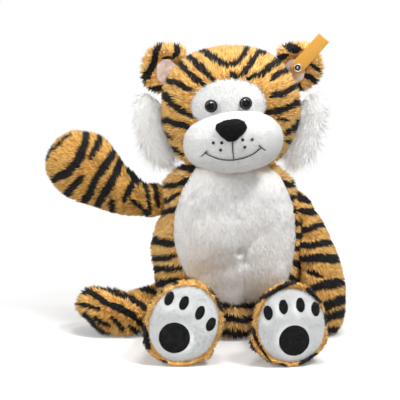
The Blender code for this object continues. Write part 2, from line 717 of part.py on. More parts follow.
def build_muzzle(head_form, fabrics):
    """The white muzzle with its stuffing, the padded nose, the embroidered mouth and the whisker dots."""
    halves = Vector((MUZZLE_HALF_WIDTH, MUZZLE_HALF_DEPTH, MUZZLE_HALF_HEIGHT))
    outer = ellipsoid("muzzle_form", MUZZLE_CENTRE, halves, MUZZLE_SEGMENTS, MUZZLE_FULLNESS, FACE_TURN)
    blocker = pushed(head_form, "blocker", SEAM_GAP)
    inside = (MUZZLE_CENTRE, halves, MUZZLE_INSIDE_SEGMENTS, MUZZLE_FULLNESS, FACE_TURN)
    inner = push(ellipsoid("inner", *inside), -PILE)
    core = push(ellipsoid("core", *inside), -PILE - SEAM_GAP)
    cover = shell_of(outer, inner, "muzzle_shell")
    discard(inner)
    for piece in (cover, core):
        combine(piece, blocker, "DIFFERENCE", keep_tool=True)
    finish(cover, "muzzle_cover", fabrics["white"])
    finish(core, "muzzle_stuffing", fabrics["stuffing"])

    find = surface_finder(outer)

    def on_muzzle(across, up):
        offset = FACE_TURN @ Vector((across, 0.0, up))
        return find(MUZZLE_CENTRE.x + FACE_SHIFT + offset.x, MUZZLE_CENTRE.z + offset.z)

    place, _ = on_muzzle(0.0, NOSE_RISE)
    nose = ellipsoid(
        "nose", ORIGIN, (NOSE_HALF_WIDTH, NOSE_HALF_DEPTH, NOSE_HALF_HEIGHT), SMALL_SEGMENTS, NOSE_FULLNESS
    )
    for vert in nose.data.vertices:
        vert.co.x *= 1 + NOSE_TAPER_SHARE * vert.co.z / NOSE_HALF_HEIGHT
    nose.data.transform(Matrix.Translation(place) @ FACE_TURN)
    combine(nose, pushed(outer, "seat", SEAM_GAP), "DIFFERENCE")
    finish(nose, "nose", fabrics["nose"])
    discard(blocker)

    def stitch(route):
        """A raised line of thread along points given across and up from the muzzle's middle."""
        points = []
        for across, up in route:
            spot, normal = on_muzzle(across, up)
            points.append(spot + normal * (SEAM_GAP + THREAD_RADIUS * LIFT_SHARE))
        rings = []
        for index, point in enumerate(points):
            tangent = points[min(index + 1, len(points) - 1)] - points[max(index - 1, 0)]
            through = (Y_AXIS - Y_AXIS.dot(tangent) / tangent.length_squared * tangent).normalized()
            across = tangent.normalized().cross(through)
            rings.append((point, across * THREAD_RADIUS, through * THREAD_RADIUS))
        return mesh_object("thread", loft(rings, THREAD_SIDES))

    smile = [
        (SMILE_HALF_WIDTH * t, -SMILE_DROP - SMILE_SAG * (1 - t * t))
        for t in (2 * k / SMILE_POINTS - 1 for k in range(SMILE_POINTS + 1))
    ]
    mouth = stitch(smile)
    lip_bottom = -SMILE_DROP - SMILE_SAG - THREAD_RADIUS * LIP_PASS_SHARE
    lip = [(0.0, LIP_TOP + (lip_bottom - LIP_TOP) * k / LIP_POINTS) for k in range(LIP_POINTS + 1)]
    combine(mouth, stitch(lip), "UNION")
    for side in (-1, 1):
        tick = []
        for k in (-TICK_LEAN_SHARE, 1 - TICK_LEAN_SHARE):
            across = SMILE_HALF_WIDTH + SMILE_TICK * k * TICK_LEAN_SHARE - THREAD_RADIUS
            tick.append((side * across, SMILE_TICK * k - SMILE_DROP))
        combine(mouth, stitch(tick), "UNION")
    finish(mouth, "mouth_stitching", fabrics["thread"])

    dots = (
        (DOT_OFFSET + DOT_SPACING, LIP_TOP),
        (DOT_OFFSET, LIP_TOP),
        (DOT_OFFSET, LIP_TOP - DOT_SPACING * DOT_DROP_SHARE),
    )
    for side, label in ((-1, "left"), (1, "right")):
        for number, (across, up) in enumerate(dots, 1):
            spot, normal = on_muzzle(side * across, up)
            dot = disc("dot", spot, normal, DOT_RADIUS, SEAM_GAP, SEAM_GAP + DOT_HEIGHT, DOT_SEGMENTS)
            finish(dot, f"whisker_dot_{label}_{number}", fabrics["thread"])
    discard(outer)


def ear_centre(side):
    """The middle of an ear: side is -1 for the left one and 1 for the right one."""
    return HEAD_CENTRE + Vector((side * EAR_SPREAD, EAR_BACK + HEAD_FORWARD, EAR_RISE))


def ear_form(side):
    """An ear's outer form, before its front is hollowed and its root is trimmed by the head."""
    halves = (EAR_HALF_WIDTH, EAR_HALF_THICKNESS, EAR_HALF_HEIGHT)
    return ellipsoid("ear", ear_centre(side), halves, EAR_SEGMENTS, EAR_FULLNESS)


def build_ears(head_form, fabrics):
    """Round ears with a hollow front, their satin linings, and the riveted label of the right one."""
    blocker = pushed(head_form, "blocker", SEAM_GAP)
    for side, label in ((-1, "left"), (1, "right")):
        centre = ear_centre(side)
        ear = ear_form(side)
        lining_halves = (EAR_HALF_WIDTH * LINING_SHARE, HOLLOW_DEPTH, EAR_HALF_HEIGHT * LINING_SHARE)
        inward = -side * EAR_HALF_WIDTH * LINING_INWARD_SHARE
        hollow_centre = centre + Vector((inward, -EAR_HALF_THICKNESS, 0.0))
        hollow = ellipsoid("hollow", hollow_centre, lining_halves, EAR_SEGMENTS)
        combine(ear, hollow, "DIFFERENCE", keep_tool=True)
        lining = pushed(hollow, "lining", -SEAM_GAP)
        front = oval_column(
            "front",
            hollow_centre,
            EAR_HALF_WIDTH,
            EAR_HALF_HEIGHT,
            hollow_centre.y - EAR_HALF_THICKNESS,
            hollow_centre.y + HOLLOW_DEPTH - SEAM_GAP - LINING_THICKNESS,
        )
        combine(lining, front, "DIFFERENCE")
        discard(hollow)
        for piece in (ear, lining):
            combine(piece, blocker, "DIFFERENCE", keep_tool=True)
        if label == "right":
            build_label(centre, (ear, lining), fabrics)
        finish(ear, "ear_" + label, fabrics["striped"])
        finish(lining, "ear_lining_" + label, fabrics["satin"])
    discard(blocker)


def build_label(middle, carriers, fabrics):
    """A bare woven label held on the ear's front by a rivet through the ear."""
    place = Vector((middle.x - RIVET_INWARD, 0.0, middle.z + RIVET_RISE))
    front = middle.y - EAR_HALF_THICKNESS - SEAM_GAP
    back = middle.y + EAR_HALF_THICKNESS + SEAM_GAP
    hole = RIVET_SHANK + SEAM_GAP
    bore = disc("bore", place, Y_AXIS, hole, front - OVERRUN, back + OVERRUN, SMALL_SEGMENTS)
    for carrier in carriers:
        combine(carrier, bore, "DIFFERENCE", keep_tool=True)
    bm = bmesh.new()
    long_half = LABEL_LENGTH / 2
    bmesh.ops.create_cube(
        bm,
        size=1.0,
        matrix=Matrix.Translation(Vector((place.x, front - LABEL_THICKNESS / 2, place.z)))
        @ Matrix.Rotation(LABEL_TURN, 4, "Y")
        @ Matrix.Translation(Z_AXIS * (long_half - LABEL_END))
        @ Matrix.Diagonal((LABEL_WIDTH, LABEL_THICKNESS, LABEL_LENGTH, 1.0)),
    )
    label = mesh_object("label", bm)
    combine(label, bore, "DIFFERENCE")
    finish(label, "ear_label", fabrics["label"])
    cap_back = front - LABEL_THICKNESS - SEAM_GAP
    cap = disc("cap", place, Y_AXIS, RIVET_RADIUS, cap_back - RIVET_HEIGHT, cap_back, SMALL_SEGMENTS)
    shank = disc("shank", place, Y_AXIS, RIVET_SHANK, cap_back - RIVET_HEIGHT / 2, back, SMALL_SEGMENTS)
    combine(cap, shank, "UNION")
    finish(cap, "ear_rivet_cap", fabrics["metal"])
    socket = disc("socket", place, Y_AXIS, RIVET_RADIUS, back, back + RIVET_HEIGHT, SMALL_SEGMENTS)
    seat = disc("seat", place, Y_AXIS, hole, back - RIVET_HEIGHT, back + RIVET_HEIGHT / 2, SMALL_SEGMENTS)
    combine(socket, seat, "DIFFERENCE")
    finish(socket, "ear_rivet_socket", fabrics["metal"])


def build_tufts(head_form, fabrics):
    """The shaggy cheek tufts, sewn in behind the sides of the head."""
    blocker = pushed(head_form, "blocker", SEAM_GAP)
    shoulder_line = slab("below", -OVERRUN, NECK_HEIGHT - TUFT_BELOW_NECK)
    halves = (TUFT_HALF_WIDTH, TUFT_HALF_THICKNESS, TUFT_HALF_HEIGHT)
    for side, label in ((-1, "left"), (1, "right")):
        centre = HEAD_CENTRE + Vector((side * TUFT_SPREAD, HEAD_FORWARD + TUFT_BACK, -TUFT_DROP))
        turn = Matrix.Rotation(side * TUFT_TURN, 4, "Y")
        tuft = ellipsoid("tuft", centre, halves, TUFT_SEGMENTS, turn=turn)
        for blocking in (blocker, shoulder_line):
            combine(tuft, blocking, "DIFFERENCE", keep_tool=True)
        combine(tuft, push(ear_form(side), SEAM_GAP), "DIFFERENCE")
        finish(tuft, "cheek_tuft_" + label, fabrics["long_white"])
    discard(blocker)
    discard(shoulder_line)


def build_all():
    """Clear the scene and build the toy."""
    for old in list(bpy.data.objects):
        bpy.data.objects.remove(old)
    fabrics = {
        "striped": plain_material("striped_plush", (0.79, 0.40, 0.10), 0.95),
        "white": plain_material("white_plush", (0.86, 0.85, 0.82), 0.95),
        "long_white": plain_material("long_white_plush", (0.83, 0.83, 0.80), 0.95),
        "sole": plain_material("white_velour", (0.88, 0.88, 0.86), 0.8),
        "black": plain_material("black_velour", (0.01, 0.01, 0.012), 0.9),
        "nose": plain_material("nose_velour", (0.012, 0.012, 0.014), 0.85),
        "satin": plain_material("pink_satin", (0.66, 0.48, 0.40), 0.6),
        "stuffing": plain_material("stuffing", (0.9, 0.9, 0.88), 1.0),
        "eye": plain_material("eye_plastic", (0.012, 0.012, 0.014), 0.08),
        "washer": plain_material("washer_plastic", (0.75, 0.75, 0.72), 0.4),
        "thread": plain_material("black_thread", (0.012, 0.012, 0.014), 0.8),
        "label": plain_material("woven_label", (0.87, 0.40, 0.03), 0.8),
        "metal": plain_material("rivet_metal", (0.62, 0.55, 0.42), 0.3, 1.0),
    }
    torso_form = build_torso_form()
    head_form = build_head_form()
    left_hip = Vector((-LEFT_HIP_OUT, -HIP_FORWARD, HIP_HEIGHT))
    right_hip = Vector((RIGHT_HIP_OUT, -HIP_FORWARD, HIP_HEIGHT))
    sole_front = -HIP_FORWARD - LEG_LENGTH
    left_sole = Vector((-LEFT_SOLE_OUT, sole_front, SOLE_HEIGHT))
    right_sole = Vector((RIGHT_SOLE_OUT, sole_front, SOLE_HEIGHT))
    sockets = [
        ball("socket", LEFT_SHOULDER, ARM_BALL_RADIUS + SWING_GAP, Y_AXIS),
        ball("socket", RIGHT_SHOULDER, ARM_BALL_RADIUS + SWING_GAP, Y_AXIS),
        ball("socket", left_hip, LEG_BALL_RADIUS + SWING_GAP, X_AXIS),
        ball("socket", right_hip, LEG_BALL_RADIUS + SWING_GAP, X_AXIS),
        ball("socket", TAIL_ROOT, TAIL_BALL_RADIUS + SWING_GAP, Z_AXIS),
    ]
    build_torso(torso_form, sockets, fabrics)
    for socket in sockets:
        discard(socket)
    arms = (
        ("arm_left", LEFT_SHOULDER, LEFT_ARM_SHARES, LEFT_ARM_DOME_SHARE),
        ("arm_right", RIGHT_SHOULDER, RIGHT_ARM_SHARES, RIGHT_ARM_DOME_SHARE),
    )
    for name, shoulder, shares, dome in arms:
        rows = sized(shares, ARM_LENGTH, ARM_HALF_WIDTH, ARM_HALF_THICKNESS)
        limb = (rows, shoulder, ARM_BALL_RADIUS, Y_AXIS, Y_AXIS, ARM_LENGTH * dome)
        build_closed_limb(name, limb, torso_form, fabrics)
    build_leg("leg_left", left_hip, left_sole, LEFT_FOOT_ROLL, torso_form, fabrics)
    build_leg("leg_right", right_hip, right_sole, RIGHT_FOOT_ROLL, torso_form, fabrics)
    tail_rows = sized(TAIL_ROW_SHARES, TAIL_LENGTH, TAIL_RADIUS, TAIL_RADIUS)
    tail = (tail_rows, TAIL_ROOT, TAIL_BALL_RADIUS, Z_AXIS, Z_AXIS, TAIL_LENGTH * TAIL_DOME_SHARE)
    build_closed_limb("tail", tail, torso_form, fabrics)
    build_head(head_form, fabrics)
    build_muzzle(head_form, fabrics)
    build_ears(head_form, fabrics)
    build_tufts(head_form, fabrics)
    discard(torso_form)
    discard(head_form)


build_all()
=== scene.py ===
"""A sitting plush tiger: striped plush skins over stuffing, a white face and tummy, velour paws and nose.

The toy faces -Y and sits on z = 0. Left and right are as a person in front of the toy sees them. Each stuffed
form is knitted over its CAD pieces, smoothed and sewn into its panels, and its pile is grown on it.
"""

import math

import bmesh
import bpy
import numpy as np
from mathutils import Matrix, Vector, noise
from mathutils.bvhtree import BVHTree


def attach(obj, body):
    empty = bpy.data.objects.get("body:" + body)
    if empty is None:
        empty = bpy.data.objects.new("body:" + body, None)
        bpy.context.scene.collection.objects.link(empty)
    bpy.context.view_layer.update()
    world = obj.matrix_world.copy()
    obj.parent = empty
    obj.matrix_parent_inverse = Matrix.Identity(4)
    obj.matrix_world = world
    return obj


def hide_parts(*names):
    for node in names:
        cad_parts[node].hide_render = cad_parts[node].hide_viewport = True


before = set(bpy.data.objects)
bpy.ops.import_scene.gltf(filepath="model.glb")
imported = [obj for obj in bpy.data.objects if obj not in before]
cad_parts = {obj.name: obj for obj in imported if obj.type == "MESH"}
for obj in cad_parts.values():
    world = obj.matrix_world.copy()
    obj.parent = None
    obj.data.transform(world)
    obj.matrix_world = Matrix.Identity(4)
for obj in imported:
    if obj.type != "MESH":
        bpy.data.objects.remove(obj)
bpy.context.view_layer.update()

MM = 0.001


# Studio: the toy sits on a white sweep that keeps only its shadow. Soft lights stand at both sides, above and low
# in front; one small lamp reaches only the eyes, for their glint, and one only the cheek tufts behind the head.
# The long lens looks down by 13 degrees.
VIEW_TARGET = Vector((-30 * MM, 0, 128.5 * MM))
VIEW_TILT = math.radians(13)
VIEW_DISTANCE = 2.2
VIEW_WIDTH = 0.4
PHOTO_SIZE = 400
SENSOR_WIDTH = 36
WORLD_LEVEL = 0.42
SWEEP_GREY = (0.74, 0.74, 0.74, 1)
SWEEP_GLOW = 0.14
SWEEP_RADIUS = 0.62

camera_data = bpy.data.cameras.new("camera")
camera_data.sensor_width = SENSOR_WIDTH
camera_data.lens = SENSOR_WIDTH * VIEW_DISTANCE / VIEW_WIDTH
camera = bpy.data.objects.new("camera", camera_data)
camera.location = VIEW_TARGET + VIEW_DISTANCE * Vector((0, -math.cos(VIEW_TILT), math.sin(VIEW_TILT)))
camera.rotation_euler = (math.pi / 2 - VIEW_TILT, 0, 0)
bpy.context.scene.collection.objects.link(camera)
bpy.context.scene.camera = camera
bpy.context.scene.view_settings.view_transform = "Standard"


def photo_places(points):
    """Where points of the toy fall in the photograph, in pixels across and down."""
    x, y, z = points[:, 0] - VIEW_TARGET.x, points[:, 1], points[:, 2] - VIEW_TARGET.z
    depth = VIEW_DISTANCE + y * math.cos(VIEW_TILT) - z * math.sin(VIEW_TILT)
    scale = PHOTO_SIZE / VIEW_WIDTH * VIEW_DISTANCE / depth
    rise = z * math.cos(VIEW_TILT) + y * math.sin(VIEW_TILT)
    return np.stack((PHOTO_SIZE / 2 + scale * x, PHOTO_SIZE / 2 - scale * rise), axis=1)


def lamp(name, place, size, power, reaches=None):
    """A round soft light that looks at the middle of the toy, and may reach only some of its pieces."""
    data = bpy.data.lights.new(name, "AREA")
    data.shape = "DISK"
    data.size = size
    data.energy = power
    made = bpy.data.objects.new(name, data)
    made.location = place
    made.rotation_euler = (VIEW_TARGET - Vector(place)).to_track_quat("-Z", "Y").to_euler()
    bpy.context.scene.collection.objects.link(made)
    if reaches is not None:
        made.light_linking.receiver_collection = reaches
    return made


EYES = bpy.data.collections.new("eyes")
TUFTS = bpy.data.collections.new("tufts")
lamp("left_light", (-2.1, -0.9, 1.5), 1.2, 33)
lamp("right_light", (1.2, -1.0, 2.3), 0.7, 46)
lamp("top_light", (0.25, -0.25, 2.5), 0.9, 31)
lamp("low_light", (0.2, -2.3, 0.45), 1.2, 4)
lamp("eye_glint", (-0.35, -1.15, 2.2), 0.75, 260, EYES).visible_diffuse = False
lamp("tuft_light", (0, -2.2, 1.2), 1.2, 34, TUFTS)


def feed(tree, made, *values, **named):
    """Give a node's inputs, in their order or by name, their values or the sockets that feed them."""
    ordered = zip([socket for socket in made.inputs if socket.enabled], values)
    chosen = ((made.inputs[key.replace("_", " ")], value) for key, value in named.items())
    for socket, value in (*ordered, *chosen):
        if isinstance(value, bpy.types.NodeSocket):
            tree.links.new(value, socket)
        else:
            socket.default_value = value


def node_of(tree, kind, *values, **named):
    """A new node, fed with its values. Names with a small first letter are its settings."""
    made = tree.nodes.new(kind)
    for key in [key for key in named if key[0].islower()]:
        setattr(made, key, named.pop(key))
    feed(tree, made, *values, **named)
    return made


def sent_by(tree, kind, *values, **named):
    """What a new node sends from its first open socket."""
    return next(socket for socket in node_of(tree, kind, *values, **named).outputs if socket.enabled)


def seen_white(tree, strength):
    """A strength that counts only where the camera, a reflection or glass sees it."""
    rays = node_of(tree, "ShaderNodeLightPath").outputs
    seen = rays["Is Camera Ray"]
    for ray in ("Is Glossy Ray", "Is Transmission Ray"):
        seen = sent_by(tree, "ShaderNodeMath", seen, rays[ray], operation="MAXIMUM")
    return sent_by(tree, "ShaderNodeMath", seen, strength, operation="MULTIPLY")


def new_material(name, **finish):
    """A material, its tree and its shader, with the finish set on the shader's own sockets."""
    material = bpy.data.materials.new(name)
    material.use_nodes = True
    shader = material.node_tree.nodes["Principled BSDF"]
    feed(material.node_tree, shader, **finish)
    return material, material.node_tree, shader


def object_of(bm, name):
    """An object, shaded smooth, that holds the mesh."""
    mesh = bpy.data.meshes.new(name)
    bm.to_mesh(mesh)
    bm.free()
    mesh.shade_smooth()
    made = bpy.data.objects.new(name, mesh)
    bpy.context.scene.collection.objects.link(made)
    return made


world = bpy.data.worlds.new("studio")
bpy.context.scene.world = world
world.use_nodes = True
extra = seen_white(world.node_tree, 1 - WORLD_LEVEL)
level = sent_by(world.node_tree, "ShaderNodeMath", extra, WORLD_LEVEL, operation="ADD")
feed(world.node_tree, world.node_tree.nodes["Background"], Color=(1, 1, 1, 1), Strength=level)

sweep, sweep_tree, sweep_shader = new_material("white_sweep")
sweep_tree.nodes.remove(sweep_shader)
paper = sent_by(sweep_tree, "ShaderNodeBsdfDiffuse", Color=SWEEP_GREY)
glow = sent_by(sweep_tree, "ShaderNodeEmission", Color=(1, 1, 1, 1), Strength=seen_white(sweep_tree, SWEEP_GLOW))
both = sent_by(sweep_tree, "ShaderNodeAddShader", paper, glow)
feed(sweep_tree, sweep_tree.nodes["Material Output"], Surface=both)
bm = bmesh.new()
bmesh.ops.create_circle(bm, cap_ends=True, segments=96, radius=SWEEP_RADIUS)
floor = object_of(bm, "floor")
floor.data.materials.append(sweep)


# Torso cover: striped woven plush, sewn as a tall egg with a broad seat, its pile brushed downwards. The same
# cloth makes the head, the ears, the limbs and the tail, so the ways to shape, stripe and brush it start here.
GOLD = (0.93, 0.55, 0.15)
PALE_GOLD = (1.0, 0.77, 0.38)
DEEP_GOLD = (0.62, 0.28, 0.05)
BLACK = (0.012, 0.012, 0.013)
SOFT_BLACK = (0.035, 0.030, 0.028)
SINK = 2.4 * MM
SKIN_OFF_FLOOR = 0.3 * MM
PILE_OFF_FLOOR = 0.2 * MM
TUFT_SIDES = 3


def settled(made):
    """The object with its modifiers turned into plain mesh."""
    shape = made.evaluated_get(bpy.context.evaluated_depsgraph_get())
    mesh = bpy.data.meshes.new_from_object(shape)
    made.modifiers.clear()
    old = made.data
    made.data = mesh
    mesh.name = made.name
    bpy.data.meshes.remove(old)
    mesh.shade_smooth()
    return made


def points_of(mesh):
    """Its points and their normals, as rows of three numbers."""
    rows = np.empty((2, len(mesh.vertices) * 3), np.float32)
    mesh.vertices.foreach_get("co", rows[0])
    mesh.vertex_normals.foreach_get("vector", rows[1])
    return rows.reshape(2, -1, 3).astype(float)


def place_points(mesh, points):
    """Put the mesh's points where the rows say."""
    mesh.vertices.foreach_set("co", points.astype(np.float32).ravel())
    mesh.update()


noise.seed_set(1)


def wander(points, scale, seed):
    """A smooth random vector for each point, which changes over a length of the given scale."""
    shift = Vector((seed * 17.3, seed * 5.1, seed * 11.9))
    return np.array([noise.noise_vector(Vector(point) / scale + shift) for point in points])


def neighbour_mean(mesh):
    """What gives each point the mean of a value over the points that an edge joins to it."""
    pairs = np.empty(len(mesh.edges) * 2, np.int32)
    mesh.edges.foreach_get("vertices", pairs)
    first, second = pairs.reshape(-1, 2).T
    shares = np.bincount(pairs, minlength=len(mesh.vertices))

    def mean(values):
        sides = np.bincount(first, values[second], len(values)) + np.bincount(second, values[first], len(values))
        return sides / shares

    return mean


def stuffed_form(name, nodes, voxel=2.0 * MM, rounds=24, sink=SINK, seed=1):
    """One smooth stuffed form over these CAD nodes, a little inside them so that its pile ends at their skin."""
    bm = bmesh.new()
    for node in nodes:
        bm.from_mesh(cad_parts[node].data)
    bmesh.ops.remove_doubles(bm, verts=bm.verts, dist=0.001 * MM)
    made = object_of(bm, name)
    knit = made.modifiers.new("knit", "REMESH")
    knit.mode = "VOXEL"
    knit.voxel_size = voxel
    ease = made.modifiers.new("ease", "SMOOTH")
    ease.factor = 0.5
    ease.iterations = rounds
    settled(made)
    points, normals = points_of(made.data)
    outside = finder_of(*(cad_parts[node].data for node in nodes))
    reach = 8 * MM
    short = np.zeros(len(points))
    for index, (point, normal) in enumerate(zip(points, normals)):
        place, _, _, distance = outside.ray_cast(Vector(point + normal * reach), Vector(-normal), 2 * reach)
        short[index] = reach - distance if place else 0
    mean = neighbour_mean(made.data)
    for _ in range(rounds):
        short = 0.5 * short + 0.5 * mean(short)
    lumps = wander(points, 22 * MM, seed)[:, 0] * 0.9 * MM
    sunk = np.where(normals[:, 2] < -0.3, np.clip(points[:, 2] / (12 * MM), 0.1, 1), 1) * sink
    points += normals * (short + lumps - sunk)[:, None]
    points[:, 2] = np.maximum(points[:, 2], SKIN_OFF_FLOOR)
    place_points(made.data, points)
    return made


def along_stroke(places, ends):
    """For each part of a stroke: how far places lie from it, and how far along the stroke that is, from 0 to 1."""
    ends = np.array(ends, float)
    steps = np.linalg.norm(np.diff(ends, axis=0), axis=1)
    passed = np.concatenate(((0,), np.cumsum(steps)))
    for start, end, step, before in zip(ends, ends[1:], steps, passed):
        t = np.clip((places - start) @ (end - start) / step ** 2, 0, 1)
        yield np.linalg.norm(places - start - t[:, None] * (end - start), axis=1), (before + t * step) / passed[-1]


def press(made, strokes, depth, width):
    """Press soft creases into the front of a form, along strokes given in the photograph."""
    points, normals = points_of(made.data)
    places = photo_places(points)
    away = np.min([near for stroke in strokes for near, _ in along_stroke(places, stroke)], axis=0)
    dip = depth * np.exp(-((away / width) ** 2)) * (normals[:, 1] < 0.1)
    place_points(made.data, points - normals * dip[:, None])


def way_to(place):
    """The way from the camera to a place in the photograph."""
    across, up = np.array((place[0] - PHOTO_SIZE / 2, PHOTO_SIZE / 2 - place[1])) * VIEW_WIDTH / PHOTO_SIZE
    return Vector((
        across, VIEW_DISTANCE * math.cos(VIEW_TILT) + up * math.sin(VIEW_TILT),
        -VIEW_DISTANCE * math.sin(VIEW_TILT) + up * math.cos(VIEW_TILT),
    ))


def seen_at(finder, place, lift=0.0):
    """The point of a form that the photograph shows at a place, lifted off it, and the way out of it."""
    point, normal, _, _ = finder.ray_cast(camera.location, way_to(place).normalized())
    return point + normal * lift, normal


def swell(made, *moves):
    """Move parts of a form: each has its place in the photograph, its reach and its move in millimetres."""
    for place, reach, move in moves:
        points, _ = points_of(made.data)
        nearest = points[np.argmin(np.linalg.norm(photo_places(points) - np.array(place), axis=1))]
        middle = finder_of(made.data).ray_cast(camera.location, way_to(place).normalized())[0] or nearest
        away = np.linalg.norm(points - np.array(middle), axis=1)
        points += np.exp(-((away / (reach * MM)) ** 2))[:, None] * np.array(move) * MM
        points[:, 2] = np.maximum(points[:, 2], SKIN_OFF_FLOOR)
        place_points(made.data, points)


def lobed(angle, lobe):
    """How far an oval outline reaches at an angle, when it has a lobe of this angle and size."""
    return 1 + lobe[1] * np.exp(-(((angle - lobe[0]) / 0.5) ** 2))


def stretch_over(made, place, reach, rounds=250):
    """Stretch the front of a form flat over a hollow around a place in the photograph."""
    points, _ = points_of(made.data)
    near = (np.linalg.norm(photo_places(points) - np.array(place), axis=1) < reach) & (points[:, 1] < -10 * MM)
    mean = neighbour_mean(made.data)
    for _ in range(rounds):
        points[near] = np.stack([mean(row) for row in points.T], axis=1)[near]
    place_points(made.data, points)


def ring_of(bm, radius, height, steps, lean=0.0):
    """A ring of points round the Z axis, or a single point where it has no radius."""
    turns = (math.tau * k / steps for k in range(steps if radius else 1))
    return [bm.verts.new((lean + radius * math.cos(turn), radius * math.sin(turn), height)) for turn in turns]


def join_rings(bm, rings):
    """Faces between each ring of points and the next; either may be a single point."""
    for low, high in zip(rings, rings[1:]):
        count = max(len(low), len(high))
        for k in range(count):
            after = (k + 1) % count
            corners = (low[k % len(low)], low[after % len(low)], high[after % len(high)], high[k % len(high)])
            bm.faces.new(tuple(dict.fromkeys(corners)))


def oval_plug(name, centre, half_width, half_height, start, end, turn=None, egg=0.0, lobe=(0, 0), count=96):
    """A plug with an oval outline, egg-shaped below its centre; it reaches from start to end along its own axis."""
    bm = bmesh.new()
    loops = [[], []]
    for place, loop in zip((start, end), loops):
        for k in range(count):
            angle = math.tau * k / count - math.pi
            reach = lobed(angle, lobe)
            across = half_width * math.cos(angle) * (1 - egg * math.sin(angle)) * reach
            loop.append(bm.verts.new((across, place, half_height * math.sin(angle) * reach)))
    join_rings(bm, loops)
    for loop in loops:
        bm.faces.new(loop)
    bmesh.ops.recalc_face_normals(bm, faces=bm.faces)
    bmesh.ops.transform(bm, matrix=Matrix.Translation(centre) @ (turn or Matrix.Identity(4)), verts=bm.verts)
    return object_of(bm, name)


def copy_of(made, name):
    """A second object with a copy of the mesh."""
    copy = bpy.data.objects.new(name, made.data.copy())
    bpy.context.scene.collection.objects.link(copy)
    return copy


def cut_out(made, plug, name):
    """Cut a panel out of a form along a plug, and give the form and the panel."""
    panel = copy_of(made, name)
    for piece, operation in ((made, "DIFFERENCE"), (panel, "INTERSECT")):
        shears = piece.modifiers.new("shears", "BOOLEAN")
        shears.operation = operation
        shears.solver = "MANIFOLD"
        shears.object = plug
        settled(piece)
    bpy.data.objects.remove(plug)
    return made, panel


def finder_of(*meshes):
    """A search tree over meshes."""
    bm = bmesh.new()
    for mesh in meshes:
        bm.from_mesh(mesh)
    tree = BVHTree.FromBMesh(bm)
    bm.free()
    return tree


def note(mesh, name, kind, domain, values):
    """Note a value on each point or face of a mesh."""
    key = "vector" if kind == "FLOAT_VECTOR" else "value"
    mesh.attributes.new(name, kind, domain).data.foreach_set(key, values.ravel())


def brush(made, outer, neighbours, comb, shorter=None):
    """Note on a skin where its pile grows, how long it is and which way it is combed.

    It grows only on the outer form, not on the walls where panels meet, and it is short where a neighbour or the
    floor presses on it.
    """
    mesh = made.data
    points = points_of(mesh)[0]
    close = finder_of(*(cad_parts[node].data for node in neighbours)) if neighbours else None
    reach = 6 * MM
    shortest = 0.3
    length = np.ones(len(points))
    for index, point in enumerate(points if close else ()):
        distance = close.find_nearest(Vector(point), reach)[3]
        if distance is not None:
            length[index] = max(distance / reach, shortest)
    length *= np.clip(points[:, 2] / reach + shortest, shortest, 1)
    if shorter is not None:
        length *= shorter(points)
    way = comb(points) if callable(comb) else np.tile(np.array(comb, float), (len(points), 1))
    grows = np.ones(len(mesh.polygons), bool)
    for index, face in enumerate(mesh.polygons):
        centre = face.center
        inner = outer and outer.find_nearest(centre, 0.15 * MM)[3] is None
        covered = close and close.find_nearest(centre, 1.2 * MM)[3] is not None
        grows[index] = not (inner or covered or (centre.z < 4 * MM and face.normal.z < -0.6))
    note(mesh, "length", "FLOAT", "POINT", length)
    note(mesh, "comb", "FLOAT_VECTOR", "POINT", way.astype(np.float32))
    note(mesh, "grows", "BOOLEAN", "FACE", grows)


def paint(made, front, back=(), bands=None, seed=3):
    """Note on a skin how black its stripes are: strokes of a half width and points in the photograph.

    The strokes of the front go right through to the back, except where the back has strokes of its own.
    """
    points, normals = points_of(made.data)
    places = photo_places(points)
    for scale, drift in ((14 * MM, 1.6), (3 * MM, 0.5)):
        places = places + wander(points, scale, seed)[:, :2] * drift

    def black_under(strokes):
        black = np.zeros(len(points))
        for half, *ends in strokes:
            for away, along in along_stroke(places, ends):
                width = 1.22 * half * (1 - 0.45 * np.abs(2 * along - 1) ** 4)
                black = np.maximum(black, np.clip(0.5 + (width - away) / 2.2, 0, 1))
        return black

    stripe = black_under(front)
    if back:
        behind = np.clip((normals[:, 1] - 0.15) / 0.3, 0, 1)
        stripe = stripe * (1 - behind) + black_under(back) * behind
    if bands is not None:
        stripe = np.maximum(stripe, bands(points, normals))
    note(made.data, "stripe", "FLOAT", "POINT", stripe)


def shades_of(tree, factor, colours, start=0.0, end=1.0):
    """A colour that runs through some shades while a factor rises from start to end."""
    ramp = node_of(tree, "ShaderNodeValToRGB", factor)
    shades = ramp.color_ramp.elements
    shades[0].position, shades[1].position = start, end
    for k in range(1, len(colours) - 1):
        shades.new(start + (end - start) * k / (len(colours) - 1))
    for shade, colour in zip(shades, colours):
        shade.color = (*colour, 1)
    return ramp.outputs[0]


